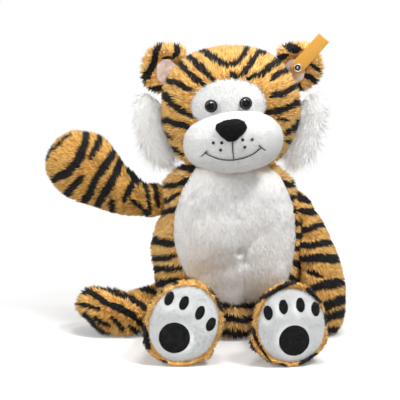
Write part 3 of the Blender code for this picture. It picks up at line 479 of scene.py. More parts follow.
def cloth(name, colours, roughness=0.95, sheen=0.2, patch=9 * MM, grain=1.1 * MM, depth=0.5 * MM, striped=False):
    """Cloth whose colour drifts between three shades, with a fine nap; striped cloth turns black in its stripes."""
    material, tree, shader = new_material(name, Roughness=roughness, Sheen_Weight=sheen, Specular_IOR_Level=0.2)
    where = node_of(tree, "ShaderNodeTexCoord").outputs["Object"]
    drift = sent_by(tree, "ShaderNodeTexNoise", Vector=where, Scale=1 / patch, Detail=3.0)
    nap = sent_by(tree, "ShaderNodeTexNoise", Vector=where, Scale=1 / grain, Detail=2.0)
    colour = shades_of(tree, drift, colours, 0.3, 0.7)
    if striped:
        marks = node_of(tree, "ShaderNodeAttribute", attribute_name="stripe").outputs["Fac"]
        ragged = sent_by(tree, "ShaderNodeMath", nap, 0.5, marks, operation="MULTIPLY_ADD")
        edge = sent_by(tree, "ShaderNodeMapRange", Value=ragged, From_Min=0.6, From_Max=0.9)
        colour = sent_by(tree, "ShaderNodeMix", edge, colour, (*BLACK, 1), data_type="RGBA")
    bump = sent_by(tree, "ShaderNodeBump", Height=nap, Strength=0.8, Distance=depth)
    feed(tree, shader, Base_Color=colour, Normal=bump)
    return material


def yarn(name, colour, sheen=0.08, shine=0.25):
    """The flat colour of one shade of pile yarn; each tuft of pile takes one of a few shades."""
    finish = {"Roughness": 0.85, "Sheen_Weight": sheen, "Specular_IOR_Level": shine}
    return new_material(name, Base_Color=(*colour, 1), **finish)[0]


def dyed(**colours):
    """The yarns of these names and colours."""
    return [yarn(name, colour) for name, colour in colours.items()]


def tuft(name, lift=(0.0, 1.0), girth=(1.0, 0.0), bend=0.0):
    """One tuft of pile, one unit long: rings of a girth at each lift, bent towards +X, closed to a tip."""
    bm = bmesh.new()
    rings = zip(girth, lift)
    join_rings(bm, [ring_of(bm, radius, height, TUFT_SIDES, bend * height * height) for radius, height in rings])
    made = object_of(bm, name)
    made.hide_render = True
    bpy.context.scene.collection.objects.unlink(made)
    return made


SHADES = ("Light", "Light 2", "Light 3", "Dark", "Dark 2")


def node_group(name, kinds):
    """A tree of Geometry Nodes with inputs of these names and kinds, and what these send."""
    tree = bpy.data.node_groups.new(name, "GeometryNodeTree")
    for key, kind in {"Geometry": "Geometry", **kinds}.items():
        tree.interface.new_socket(key, in_out="INPUT", socket_type="NodeSocket" + kind)
    tree.interface.new_socket("Geometry", in_out="OUTPUT", socket_type="NodeSocketGeometry")
    return tree, tree.nodes.new("NodeGroupInput").outputs


def pile_tree():
    """The tree that plants tufts over a brushed skin, gathers them in clumps and dyes each in one shade."""
    sizes = ("Density", "Length", "Width", "Comb", "Ruffle", "Spread", "Curl", "Clump", "Gather", "Dome")
    kinds = {"Tuft": "Object", **dict.fromkeys(sizes, "Float"), "Seed": "Int", **dict.fromkeys(SHADES, "Material")}
    tree, given = node_group("grow_pile", kinds)

    def add(kind, *values, **named):
        return sent_by(tree, kind, *values, **named)

    def maths(operation, *values):
        return add("ShaderNodeMath", *values, operation=operation)

    def vectors(operation, *values):
        return add("ShaderNodeVectorMath", *values, operation=operation)

    def noted(name, kind):
        return add("GeometryNodeInputNamedAttribute", Name=name, data_type=kind)

    def chance(low, high, extra, kind="FLOAT"):
        seed = maths("ADD", given["Seed"], extra)
        return add("FunctionNodeRandomValue", low, high, Seed=seed, data_type=kind)

    plant = node_of(
        tree, "GeometryNodeDistributePointsOnFaces", Mesh=given["Geometry"], Selection=noted("grows", "BOOLEAN"),
        Density=given["Density"], Seed=given["Seed"], distribute_method="RANDOM",
    ).outputs
    here = add("GeometryNodeInputPosition")
    clump_scale = maths("DIVIDE", 1.0, given["Clump"])
    middle = node_of(tree, "ShaderNodeTexVoronoi", Vector=here, Scale=clump_scale).outputs["Position"]
    ruffles = node_of(tree, "ShaderNodeTexNoise", Vector=middle, Scale=130, Detail=2).outputs
    gust = vectors("SUBTRACT", ruffles["Color"], (0.5, 0.5, 0.5))
    side = vectors("SCALE", vectors("SUBTRACT", here, middle), maths("DIVIDE", given["Dome"], given["Clump"]))
    shaded = vectors("ADD", side, vectors("SCALE", gust, maths("MULTIPLY", given["Dome"], 0.75)))
    comb = noted("comb", "FLOAT_VECTOR")
    lean = plant["Normal"]
    for pull, strength in (
        (comb, given["Comb"]), (gust, given["Ruffle"]),
        (vectors("SUBTRACT", middle, here), maths("DIVIDE", given["Gather"], given["Length"])),
        (chance((-1.0, -1.0, -1.0), (1.0, 1.0, 1.0), 1, "FLOAT_VECTOR"), given["Spread"]),
    ):
        lean = vectors("ADD", lean, vectors("SCALE", pull, strength))

    stand = add("FunctionNodeAlignRotationToVector", Vector=lean, axis="Z")
    droop = add("FunctionNodeAlignRotationToVector", Rotation=stand, Vector=comb, axis="X", pivot_axis="Z")
    curl = chance(maths("MULTIPLY", given["Curl"], -1.0), given["Curl"], 2)
    spin = add("FunctionNodeAxisAngleToRotation", Axis=(0, 0, 1), Angle=curl)
    turned = add("FunctionNodeRotateRotation", Rotation=droop, Rotate_By=spin, rotation_space="LOCAL")
    tall = maths("MULTIPLY", maths("MULTIPLY", given["Length"], noted("length", "FLOAT")), chance(0.7, 1.2, 3))
    wide = maths("MULTIPLY", given["Width"], chance(0.75, 1.25, 4))

    dark = maths("GREATER_THAN", maths("ADD", noted("stripe", "FLOAT"), chance(-0.3, 0.3, 5)), 0.5)
    luck = maths("ADD", chance(0.0, 1.0, 6), maths("MULTIPLY_ADD", ruffles[0], 0.9, -0.45))
    light_shade = maths("ADD", maths("GREATER_THAN", luck, 0.4), maths("GREATER_THAN", luck, 0.78))
    dark_shade = maths("ADD", maths("GREATER_THAN", luck, 0.7), 3.0)
    spots = plant["Points"]
    for name, kind, value in (
        ("skin_normal", "FLOAT_VECTOR", vectors("ADD", plant["Normal"], shaded)),
        ("tone", "FLOAT", add("ShaderNodeMix", dark, light_shade, dark_shade, data_type="FLOAT")),
    ):
        spots = add(
            "GeometryNodeStoreNamedAttribute", Geometry=spots, Name=name, Value=value, data_type=kind, domain="POINT"
        )

    source = node_of(tree, "GeometryNodeObjectInfo", Object=given["Tuft"]).outputs["Geometry"]
    size = add("ShaderNodeCombineXYZ", wide, wide, tall)
    sewn = add("GeometryNodeInstanceOnPoints", Points=spots, Instance=source, Rotation=turned, Scale=size)
    geometry = add("GeometryNodeRealizeInstances", sewn)
    for index, name in enumerate(SHADES):
        chosen = maths("COMPARE", noted("tone", "FLOAT"), float(index), 0.3)
        geometry = add("GeometryNodeSetMaterial", Geometry=geometry, Selection=chosen, Material=given[name])
    node_of(tree, "NodeGroupOutput", geometry)
    return tree


PILE_TREE = pile_tree()
SHORT_TUFT = tuft("short_tuft")


def run_tree(made, tree, values):
    """Run a tree of nodes on an object, with its inputs set to these values."""
    run = made.modifiers.new(tree.name, "NODES")
    run.node_group = tree
    for socket in tree.interface.items_tree:
        if socket.in_out == "INPUT" and socket.name in values:
            run[socket.identifier] = values[socket.name]
    return settled(made)


def unit(rows):
    """Rows of three numbers, each brought to a length of one."""
    return rows / (np.linalg.norm(rows, axis=1)[:, None] + 1e-9)


def grow_pile(skin, name, yarns, density, length, width=0.36 * MM, comb=0.8, ruffle=1.8, spread=0.25,
              shape=SHORT_TUFT, curl=math.pi, clump=4 * MM, gather=1.0, dome=1.2, soften=0.7, seed=1):
    """The pile of a brushed skin as a mesh of its own. Density is in tufts for each square millimetre."""
    if "stripe" not in skin.data.attributes:
        skin.data.attributes.new("stripe", "FLOAT", "POINT")
    made = run_tree(copy_of(skin, name), PILE_TREE, {
        "Tuft": shape, "Density": density / MM ** 2, "Length": length, "Width": width, "Comb": comb,
        "Ruffle": ruffle, "Spread": spread, "Curl": curl, "Clump": clump, "Gather": gather, "Dome": dome, "Seed": seed,
        **dict(zip(SHADES, yarns)),
    })
    mesh = made.data
    points, normals = points_of(mesh)
    points[:, 2] = np.maximum(points[:, 2], PILE_OFF_FLOOR)
    place_points(mesh, points)
    under = np.empty(len(points) * 3, np.float32)
    mesh.attributes["skin_normal"].data.foreach_get("vector", under)
    under = unit(under.reshape(-1, 3))
    under -= 2 * np.minimum((under * normals).sum(axis=1), 0)[:, None] * normals
    lit = unit(normals * (1 - soften) + under * soften)
    for noted in ("tone", "stripe", "length", "comb", "grows", "skin_normal"):
        if noted in mesh.attributes:
            mesh.attributes.remove(mesh.attributes[noted])
    mesh.normals_split_custom_set_from_vertices(lit.tolist())
    return made


# The backing is mostly deep gold, darker than the pile's yarn: painted shade for the roots of the pile, where the
# backing shows between the tufts.
STRIPED_CLOTH = cloth("striped_backing", (DEEP_GOLD, DEEP_GOLD, GOLD), striped=True)
BLACK_YARNS = [yarn("black_yarn", BLACK, 0.02), yarn("soft_black_yarn", SOFT_BLACK, 0.02)]
# The torso and the ears take a paler copy of the striped yarn than the head, the limbs and the tail: painted light, for
# the brighter light that falls on them.
PAINTED_LIGHT_STRIPED_YARN = [
    *dyed(bright_gold_yarn=(0.87, 0.50, 0.12), pale_gold_yarn=PALE_GOLD, deep_gold_yarn=DEEP_GOLD), *BLACK_YARNS,
]


def fasten(piece, body, slot, *nodes):
    """Let a finished piece ride on its body and stand for its CAD nodes."""
    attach(piece, body)
    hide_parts(*nodes)


def finish_skin(skin, pile, body, material, slot, *nodes):
    """Give a skin and its pile their body, and let the skin stand for its CAD nodes."""
    skin.data.materials.clear()
    skin.data.materials.append(material)
    fasten(skin, body, slot, *nodes)
    if pile:
        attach(pile, body)


TORSO_NEIGHBOURS = ("arm_left_cover", "arm_right_cover", "leg_left_cover", "tail_cover", "head_cover")
TORSO_FRONT = [
    (2.2, (166, 172), (182, 168), (200, 170)),
    (2.6, (165, 186), (178, 184), (192, 178)),
    (2.4, (158, 204), (170, 199), (180, 192)),
    (3.2, (150, 216), (163, 212), (182, 206)),
    (3.4, (148, 237), (160, 240), (178, 244)),
    (2.6, (148, 256), (162, 257), (176, 255)),
    (3.0, (150, 268), (164, 267), (182, 268)),
    (3.4, (152, 281), (164, 282), (178, 279)),
    (2.4, (278, 180), (290, 184), (300, 182)),
    (2.6, (282, 193), (292, 197), (302, 196)),
    (2.6, (286, 206), (296, 210), (306, 210)),
    (2.6, (290, 220), (300, 223), (310, 222)),
    (2.8, (292, 233), (302, 236), (312, 236)),
    (2.8, (294, 247), (304, 250), (314, 248)),
    (3.0, (292, 260), (300, 266), (312, 264)),
    (2.6, (286, 272), (296, 280), (308, 280)),
    (2.6, (176, 294), (190, 298), (206, 296)),
    (2.8, (218, 305), (232, 303), (248, 305), (262, 303)),
    (3.0, (214, 318), (226, 316), (240, 319), (258, 316)),
    (2.6, (220, 330), (236, 333), (262, 330)),
]
TORSO_BACK = [
    (3.0, (166, 178), (196, 186), (232, 182), (262, 188), (292, 180)),
    (2.8, (160, 200), (184, 196), (212, 203)),
    (3.0, (226, 200), (258, 206), (296, 198)),
    (3.2, (152, 216), (190, 222), (228, 216), (250, 220)),
    (2.8, (262, 224), (284, 220), (306, 223)),
    (3.2, (148, 237), (178, 238), (206, 244), (238, 236), (280, 240), (312, 236)),
    (2.8, (148, 256), (176, 256), (200, 261)),
    (3.2, (214, 256), (246, 262), (276, 256), (314, 250)),
    (3.2, (150, 273), (190, 278), (230, 272), (264, 279), (308, 270)),
    (3.0, (160, 291), (196, 294), (222, 290)),
    (3.0, (238, 294), (268, 297), (300, 290)),
    (3.0, (176, 306), (214, 310), (252, 306), (290, 308)),
]
TUMMY_CENTRE = Vector((4 * MM, 0, 112 * MM))
TUMMY_HALF_WIDTH = 59.5 * MM
TUMMY_EGG = 0.06
TUMMY_LOBE = (math.radians(-54), 0.16)
TUMMY_HALF_HEIGHT = 72 * MM

torso = stuffed_form("torso_cover_plush", ("torso_cover", "tummy_panel", "torso_stuffing"), seed=2)


def sew_seam(made, centre, half_width, half_height, depth, reach, turn=0.0, egg=0.0, lobe=(0, 0)):
    """Pull the front of a form in along an oval seam."""
    points, normals = points_of(made.data)
    across, up = points[:, 0] - centre.x, points[:, 2] - centre.z
    across, up = across * math.cos(turn) - up * math.sin(turn), across * math.sin(turn) + up * math.cos(turn)
    across, up = across / half_width / (1 - egg * np.clip(up / half_height, -1, 1)), up / half_height
    ring = np.hypot(across, up) / lobed(np.arctan2(up, across), lobe)
    away = np.abs(ring - 1) * min(half_width, half_height)
    dip = depth * np.exp(-((away / reach) ** 2)) * (points[:, 1] < centre.y)
    place_points(made.data, points - normals * dip[:, None])


stretch_over(torso, (264, 290), 24)
swell(torso, ((264, 284), 22, (0, -9, -1)))
stretch_over(torso, (264, 288), 36, 14)
sew_seam(torso, TUMMY_CENTRE, TUMMY_HALF_WIDTH, TUMMY_HALF_HEIGHT, 1.6 * MM, 3.2 * MM, egg=TUMMY_EGG, lobe=TUMMY_LOBE)
NAVEL = (242, 250)
press(torso, [[NAVEL, (242.2, 250.2)]], 4.2 * MM, 3.2)
press(torso, [[(242, 254), (243, 260)]], 2.0 * MM, 4.5)
press(torso, [[NAVEL, (243, 270), (245, 292), (246, 312)]], 1.6 * MM, 1.8)
press(torso, [[NAVEL, (250, 243), (262, 232)]], 1.6 * MM, 6.0)
press(torso, [[NAVEL, (230, 252), (216, 255), (204, 261)]], 0.9 * MM, 3.5)
press(torso, [[(204, 272), (218, 267), (232, 263), (243, 260)]], 1.7 * MM, 8.0)
press(torso, [[(297, 212), (299, 232), (299, 255)]], -2.4 * MM, 6.0)
swell(
    torso, ((174, 180), 16, (-8, 0, -1.5)), ((153, 244), 16, (-3, 0, 0)), ((235, 326), 22, (0, -14, -2)),
    ((212, 238), 36, (0, -8, 0)),
)
press(torso, [[(286, 176), (294, 188)]], -3.0 * MM, 7.0)
torso_outer = finder_of(torso.data)
torso, tummy = cut_out(
    torso,
    oval_plug(
        "tummy_shape", TUMMY_CENTRE, TUMMY_HALF_WIDTH, TUMMY_HALF_HEIGHT, -90 * MM, -12 * MM, egg=TUMMY_EGG,
        lobe=TUMMY_LOBE,
    ),
    "tummy_panel_plush",
)
brush(torso, torso_outer, TORSO_NEIGHBOURS, (0, 0, -1))
paint(torso, TORSO_FRONT, TORSO_BACK)
# The torso's pile takes the paler copy of the yarn: painted light.
torso_pile = grow_pile(
    torso, "torso_cover_pile", PAINTED_LIGHT_STRIPED_YARN, 1.15, 5.2 * MM, ruffle=1.5, clump=3.4 * MM,
    seed=11,
)
finish_skin(torso, torso_pile, "torso", STRIPED_CLOTH, "striped_plush", "torso_cover", "torso_stuffing")


# Tummy panel: white plush let into the front of the torso by an oval seam. A stitch pulls in the navel, and a
# short dart runs down from it. Its pile is short and brushed down.
WHITE = (0.94, 0.94, 0.93)
BRIGHT_WHITE = (0.99, 0.99, 0.98)
GREY_WHITE = (0.84, 0.83, 0.81)

WHITE_CLOTH = cloth("white_backing", (GREY_WHITE, WHITE, WHITE), sheen=0.1)
WHITE_YARN = dyed(white_yarn=WHITE, bright_white_yarn=BRIGHT_WHITE, grey_white_yarn=GREY_WHITE) * 2


def plain(made):
    """Note that a skin has no stripes."""
    made.data.attributes.new("stripe", "FLOAT", "POINT")


brush(tummy, torso_outer, TORSO_NEIGHBOURS, (0, 0, -1))
plain(tummy)
tummy_pile = grow_pile(tummy, "tummy_panel_pile", WHITE_YARN, 1.5, 3.8 * MM, width=0.26 * MM, comb=2.2, ruffle=1.5,
clump=3 * MM,
                       gather=0.5, dome=0.45, soften=0.76, seed=12)
finish_skin(tummy, tummy_pile, "torso", WHITE_CLOTH, "white_plush", "tummy_panel")


# Head cover: striped plush over the round head, its stripes spread from the face and its pile brushed away
# from the nose. It turns on the neck seam.
HEAD_CENTRE = Vector((0, -8 * MM, 224 * MM))
FACE_ROLL = math.radians(5)
FACE_TURN = Matrix.Rotation(-FACE_ROLL, 4, "Y")
MASK_CENTRE = Vector((-2.2 * MM, -8 * MM, 235 * MM))
MASK_HALF_WIDTH = 36.2 * MM
MASK_HALF_HEIGHT = 24.8 * MM
HEAD_FRONT = [
    (2.9, (196, 50), (207, 55), (216, 61), (227, 67), (237, 65), (243, 57), (248, 47)),
    (2.8, (185, 54), (198, 66), (205, 72), (214, 81)),
    (2.6, (177, 62), (188, 72), (196, 80), (205, 85)),
    (2.6, (169, 80), (180, 86), (194, 92)),
    (2.9, (162, 90), (173, 103), (184, 113), (197, 118)),
    (2.7, (162, 119), (175, 122), (190, 128)),
    (1.5, (165, 130), (175, 138)),
    (2.0, (169, 142), (177, 148), (185, 153)),
    (2.6, (272, 51), (258, 55), (251, 63), (247, 71), (240, 77)),
    (2.8, (286, 57), (272, 66), (262, 74), (248, 79)),
    (2.4, (292, 71), (278, 74), (270, 81)),
    (2.7, (298, 85), (283, 93), (270, 97)),
    (2.8, (300, 101), (285, 108), (274, 112), (261, 112)),
    (1.7, (277, 118), (286, 121)),
    (2.4, (301, 117), (290, 129), (284, 133)),
    (1.9, (293, 138), (284, 141)),
    (1.9, (285, 151), (279, 156)),
    (2.4, (231, 74), (237, 79)),
]
STRIPED_YARN = [
    *dyed(gold_yarn=(0.82, 0.46, 0.105), light_gold_yarn=(1.0, 0.69, 0.27), brown_gold_yarn=(0.46, 0.20, 0.035)),
    *BLACK_YARNS,
]
HEAD_BACK = [
    (2.9, (196, 50), (207, 55), (218, 62), (230, 67), (240, 63), (248, 47)),
    (2.8, (185, 54), (198, 66), (212, 78), (232, 84), (252, 78), (270, 66), (286, 57)),
    (2.8, (169, 80), (184, 88), (204, 99), (232, 104), (260, 98), (280, 88), (298, 85)),
    (2.9, (162, 93), (180, 108), (206, 118), (226, 119)),
    (2.9, (240, 119), (262, 116), (284, 106), (300, 100)),
    (2.8, (162, 119), (186, 129), (216, 136), (248, 136), (280, 128), (301, 117)),
    (2.6, (169, 142), (196, 149), (226, 153)),
    (2.6, (238, 152), (264, 148), (292, 138)),
    (2.6, (184, 162), (216, 167), (248, 167), (278, 160)),
]

head = stuffed_form("head_cover_plush", ("head_cover", "face_panel", "head_stuffing"), seed=5)
swell(
    head, ((184, 158), 12, (-4, 0, -3)), ((272, 158), 12, (3.5, 0, -3)), ((206, 50), 18, (0, 0, -1.5)), ((160, 108),
    10, (2, 0, 0)),
)
sew_seam(head, MASK_CENTRE, MASK_HALF_WIDTH, MASK_HALF_HEIGHT, 1.0 * MM, 2.6 * MM, FACE_ROLL)
head_outer = finder_of(head.data)
head, mask = cut_out(
    head, oval_plug("mask_shape", MASK_CENTRE, MASK_HALF_WIDTH, MASK_HALF_HEIGHT, -80 * MM, -14 * MM, FACE_TURN),
    "face_panel_plush",
)


def away_from_nose(points):
    """Pile brushed away from the nose, over the head and down its back."""
    way = points - np.array((2 * MM, -70 * MM, 214 * MM))
    way[:, 2] -= 0.25 * np.maximum(points[:, 1] + 20 * MM, 0)
    return way / np.linalg.norm(way, axis=1)[:, None]


brush(head, head_outer, ("muzzle_cover", "torso_cover"), away_from_nose)
paint(head, HEAD_FRONT, HEAD_BACK, seed=4)
head_pile = grow_pile(head, "head_cover_pile", STRIPED_YARN, 1.2, 5.0 * MM, comb=0.5, ruffle=1.9, seed=13)
finish_skin(head, head_pile, "head", STRIPED_CLOTH, "striped_plush", "head_cover", "head_stuffing")


# Face panel: short greyish white plush, an oval let into the head around both eyes and tilted with the face.
SHORT_WHITE_YARN = dyed(
    mask_yarn=(0.74, 0.74, 0.73), pale_mask_yarn=(0.84, 0.84, 0.83), grey_mask_yarn=(0.64, 0.64, 0.63)
) * 2
brush(mask, head_outer, ("muzzle_cover", "eye_left", "eye_right"), away_from_nose)
plain(mask)
mask_pile = grow_pile(
    mask, "face_panel_pile", SHORT_WHITE_YARN, 1.7, 2.8 * MM, width=0.24 * MM, comb=1.4, ruffle=1.0, clump=2.5 * MM,
    gather=0.15,
    dome=0.4, soften=0.76, seed=14
)
finish_skin(mask, mask_pile, "head", WHITE_CLOTH, "white_plush", "face_panel")


# Muzzle: a stuffed oval of smooth white velour, sewn to the face below the eyes, with a nap of about a
# millimetre.
VELOUR = cloth(
    "white_velour_cloth", ((0.83, 0.83, 0.82), (0.86, 0.86, 0.85), (0.90, 0.90, 0.89)), sheen=0.1, patch=14 * MM,
    grain=0.7 * MM,
    depth=0.15 * MM
)
NAP_YARN = [yarn("velour_nap", (0.89, 0.89, 0.88)), yarn("pale_velour_nap", (0.82, 0.82, 0.81))] * 3
muzzle = stuffed_form(
    "muzzle_velour", ("muzzle_cover", "muzzle_stuffing"), voxel=1.8 * MM, rounds=14, sink=1.0 * MM,
    seed=7,
)
points, _ = points_of(muzzle.data)
middle = (points[:, 2].max() + points[:, 2].min()) / 2
points[:, 2] += 2.6 * MM * np.clip((points[:, 2] - middle) / (points[:, 2].max() - middle), -0.6, 1)
place_points(muzzle.data, points)
LIP = [(232.4, 143), (233, 150), (233.9, 159.2)]
SMILE = [
    (205.7, 152.7), (210, 155.2), (214, 156.9), (219, 158.4), (225, 159.3), (231, 159.5), (237, 158.9), (243, 157.6),
    (248, 155.9), (252.5, 153.8), (257, 150.8), (260.6, 147.5),
]
TICKS = [[(202.6, 155.6), (204.8, 153.6), (206.9, 151.2)], [(259.0, 145.4), (261.6, 147.6), (264, 149.4)]]
press(muzzle, [LIP, SMILE], 0.7 * MM, 1.5)
muzzle_outer = finder_of(muzzle.data)
brush(muzzle, None, ("head_cover", "face_panel"), away_from_nose)
plain(muzzle)
muzzle_pile = grow_pile(
    muzzle, "muzzle_nap", NAP_YARN, 1.6, 2.6 * MM, width=0.22 * MM, comb=1.0, ruffle=1.2, clump=2.4 * MM, gather=0.35,
    dome=0.6,
    soften=0.8, seed=15
)
finish_skin(muzzle, muzzle_pile, "head", VELOUR, "white_plush", "muzzle_cover", "muzzle_stuffing")


# Nose: a padded triangle of black velour with round corners, its nap crushed here and there.
BLACK_VELOUR = cloth(
    "black_velour_cloth", ((0.005, 0.005, 0.006), (0.007, 0.007, 0.008), (0.011, 0.011, 0.012)), sheen=0.02,
    patch=4 * MM, grain=0.6 * MM,
    depth=0.2 * MM,
)
BLACK_NAP_YARN = [yarn("black_nap", (0.005, 0.005, 0.006), 0.01, 0.06), yarn("grey_nap", (0.012, 0.012, 0.014), 0.02,
0.06)] * 3
nose = stuffed_form("nose_velour_pad", ("nose",), voxel=0.9 * MM, rounds=8, sink=0.3 * MM, seed=8)
points, _ = points_of(nose.data)
low, high = points.min(axis=0), points.max(axis=0)
middle = (low + high) / 2
drop = np.clip((middle[2] + 2 * MM - points[:, 2]) / (high[2] - middle[2]), 0, 1)
crest = np.clip((points[:, 2] - middle[2] - 4 * MM) / (high[2] - middle[2] - 4 * MM), 0, 1)
points[:, 0] = middle[0] + (points[:, 0] - middle[0]) * (1.0 - 0.25 * drop ** 1.3 - 0.1 * crest)
place_points(nose.data, points)
brush(nose, None, (), (0, 0, -1))
plain(nose)
nose_pile = grow_pile(
    nose, "nose_nap", BLACK_NAP_YARN, 3.0, 1.1 * MM, width=0.12 * MM, comb=0.8, ruffle=2.0, clump=1.6 * MM,
    seed=16,
)
finish_skin(nose, nose_pile, "head", BLACK_VELOUR, "nose_velour", "nose")


# Mouth and whisker dots: black embroidery. The mouth is a line of short satin stitches laid on the muzzle, and
# each dot is a small dome of thread.
THREAD_RADIUS = 0.66 * MM
PILE_LIFT = 1.3 * MM
thread_black = cloth(
    "black_thread_cloth", (BLACK, BLACK, (0.03, 0.03, 0.03)), roughness=0.6, sheen=0.2, patch=1 * MM, grain=0.35 * MM,
    depth=0.12 * MM,
)


def stitch_tree():
    """The tree that lays stitches along a path, each a little longer than the step between them."""
    tree = bpy.data.node_groups.new("lay_stitches", "GeometryNodeTree")
    face = tree.interface
    face.new_socket("Geometry", in_out="INPUT", socket_type="NodeSocketGeometry")
    face.new_socket("Step", in_out="INPUT", socket_type="NodeSocketFloat")
    face.new_socket("Radius", in_out="INPUT", socket_type="NodeSocketFloat")
    face.new_socket("Thread", in_out="INPUT", socket_type="NodeSocketMaterial")
    face.new_socket("Geometry", in_out="OUTPUT", socket_type="NodeSocketGeometry")
    nodes, links = tree.nodes, tree.links
    given = nodes.new("NodeGroupInput").outputs
    path = nodes.new("GeometryNodeMeshToCurve")
    links.new(given["Geometry"], path.inputs[0])
    even = nodes.new("GeometryNodeCurveToPoints")
    even.mode = "LENGTH"
    links.new(path.outputs[0], even.inputs[0])
    links.new(given["Step"], even.inputs["Length"])
    stitch = nodes.new("GeometryNodeMeshUVSphere")
    stitch.inputs["Segments"].default_value = 8
    stitch.inputs["Rings"].default_value = 6
    stitch.inputs["Radius"].default_value = 1
    lay = nodes.new("GeometryNodeInstanceOnPoints")
    links.new(even.outputs["Points"], lay.inputs["Points"])
    links.new(stitch.outputs["Mesh"], lay.inputs["Instance"])
    links.new(even.outputs["Rotation"], lay.inputs["Rotation"])
    long = nodes.new("ShaderNodeMath")
    long.operation = "MULTIPLY"
    long.inputs[1].default_value = 0.8
    links.new(given["Step"], long.inputs[0])
    size = nodes.new("ShaderNodeCombineXYZ")
    links.new(given["Radius"], size.inputs[0])
    links.new(given["Radius"], size.inputs[1])
    links.new(long.outputs[0], size.inputs[2])
    links.new(size.outputs[0], lay.inputs["Scale"])
    real = nodes.new("GeometryNodeRealizeInstances")
    links.new(lay.outputs[0], real.inputs[0])
    smooth = nodes.new("GeometryNodeSetShadeSmooth")
    links.new(real.outputs[0], smooth.inputs["Geometry"])
    dye = nodes.new("GeometryNodeSetMaterial")
    links.new(smooth.outputs[0], dye.inputs["Geometry"])
    links.new(given["Thread"], dye.inputs["Material"])
    links.new(dye.outputs[0], nodes.new("NodeGroupOutput").inputs[0])
    return tree


bm = bmesh.new()
for route in (SMILE, LIP, *TICKS):
    row = [bm.verts.new(seen_at(muzzle_outer, place, PILE_LIFT)[0]) for place in route]
    for pair in zip(row, row[1:]):
        bm.edges.new(pair)
mouth = object_of(bm, "mouth_embroidery")
sew = mouth.modifiers.new("sew", "NODES")
sew.node_group = stitch_tree()
for socket in sew.node_group.interface.items_tree:
    if socket.in_out == "INPUT" and socket.name != "Geometry":
        sew[socket.identifier] = {"Step": 1.5 * MM, "Radius": THREAD_RADIUS, "Thread": thread_black}[socket.name]
settled(mouth)
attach(mouth, "head")
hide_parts("mouth_stitching")


def dome(name, place, axis, profile, steps):
    """A turned piece: a profile of (radius, height) spun about an axis through the place."""
    bm = bmesh.new()
    rows = []
    for radius, height in profile:
        if radius == 0:
            rows.append([bm.verts.new((0, 0, height))])
        else:
            rows.append([
                bm.verts.new((radius * math.cos(math.tau * k / steps), radius * math.sin(math.tau * k / steps), height))
                for k in range(steps)
            ])
    for low, high in zip(rows, rows[1:]):
        for k in range(steps):
            after = (k + 1) % steps
            if len(low) == 1:
                bm.faces.new((low[0], high[k], high[after]))
            elif len(high) == 1:
                bm.faces.new((low[k], high[0], low[after]))
            else:
                bm.faces.new((low[k], high[k], high[after], low[after]))
    bmesh.ops.recalc_face_normals(bm, faces=bm.faces)
    turned = Vector((0, 0, 1)).rotation_difference(axis).to_matrix().to_4x4()
    bmesh.ops.transform(bm, matrix=Matrix.Translation(place) @ turned, verts=bm.verts)
    return object_of(bm, name)


DOT_PLACES = {
    "left": ((213.6, 142.9), (221.8, 142.9), (220.8, 149.9)), "right": ((251.8, 139.7), (242.7, 139.9), (244.7, 147.0)),
}
for label, places in DOT_PLACES.items():
    for number, spot in enumerate(places, 1):
        place, normal = seen_at(muzzle_outer, spot, PILE_LIFT - 0.6 * MM)
        dot_profile = [
            (0, -0.4 * MM), (1.5 * MM, -0.4 * MM), (1.6 * MM, 0.3 * MM), (1.4 * MM, 0.9 * MM), (0.8 * MM, 1.25 * MM),
            (0, 1.35 * MM),
        ]
        dot = dome(f"whisker_dot_{label}_{number}_thread", place, normal, dot_profile, 16)
        dot.data.materials.append(thread_black)
        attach(dot, "head")
        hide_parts(f"whisker_dot_{label}_{number}")


# Eyes: domed safety eyes of moulded plastic, a black pupil in a dark grey ring, pushed through the face panel
# and locked by a washer inside the head.
def plastic(name, colour, roughness, gloss=0.5):
    """Moulded plastic with a very faint unevenness."""
    material = bpy.data.materials.new(name)
    material.use_nodes = True
    tree = material.node_tree
    shader = tree.nodes["Principled BSDF"]
    where = tree.nodes.new("ShaderNodeTexCoord").outputs["Object"]
    cloud = node_of(tree, "ShaderNodeTexNoise", Vector=where, Scale=1 / (2 * MM), Detail=2.0)
    shades = tree.nodes.new("ShaderNodeValToRGB")
    shades.color_ramp.elements[0].color = (*(part * 0.8 for part in colour), 1)
    shades.color_ramp.elements[1].color = (*colour, 1)
    tree.links.new(cloud.outputs[0], shades.inputs[0])
    tree.links.new(shades.outputs[0], shader.inputs["Base Color"])
    worn = tree.nodes.new("ShaderNodeMapRange")
    worn.inputs["To Min"].default_value = roughness * 0.8
    worn.inputs["To Max"].default_value = roughness * 1.2
    tree.links.new(cloud.outputs[0], worn.inputs["Value"])
    tree.links.new(worn.outputs[0], shader.inputs["Roughness"])
    shader.inputs["Specular IOR Level"].default_value = gloss
    return material


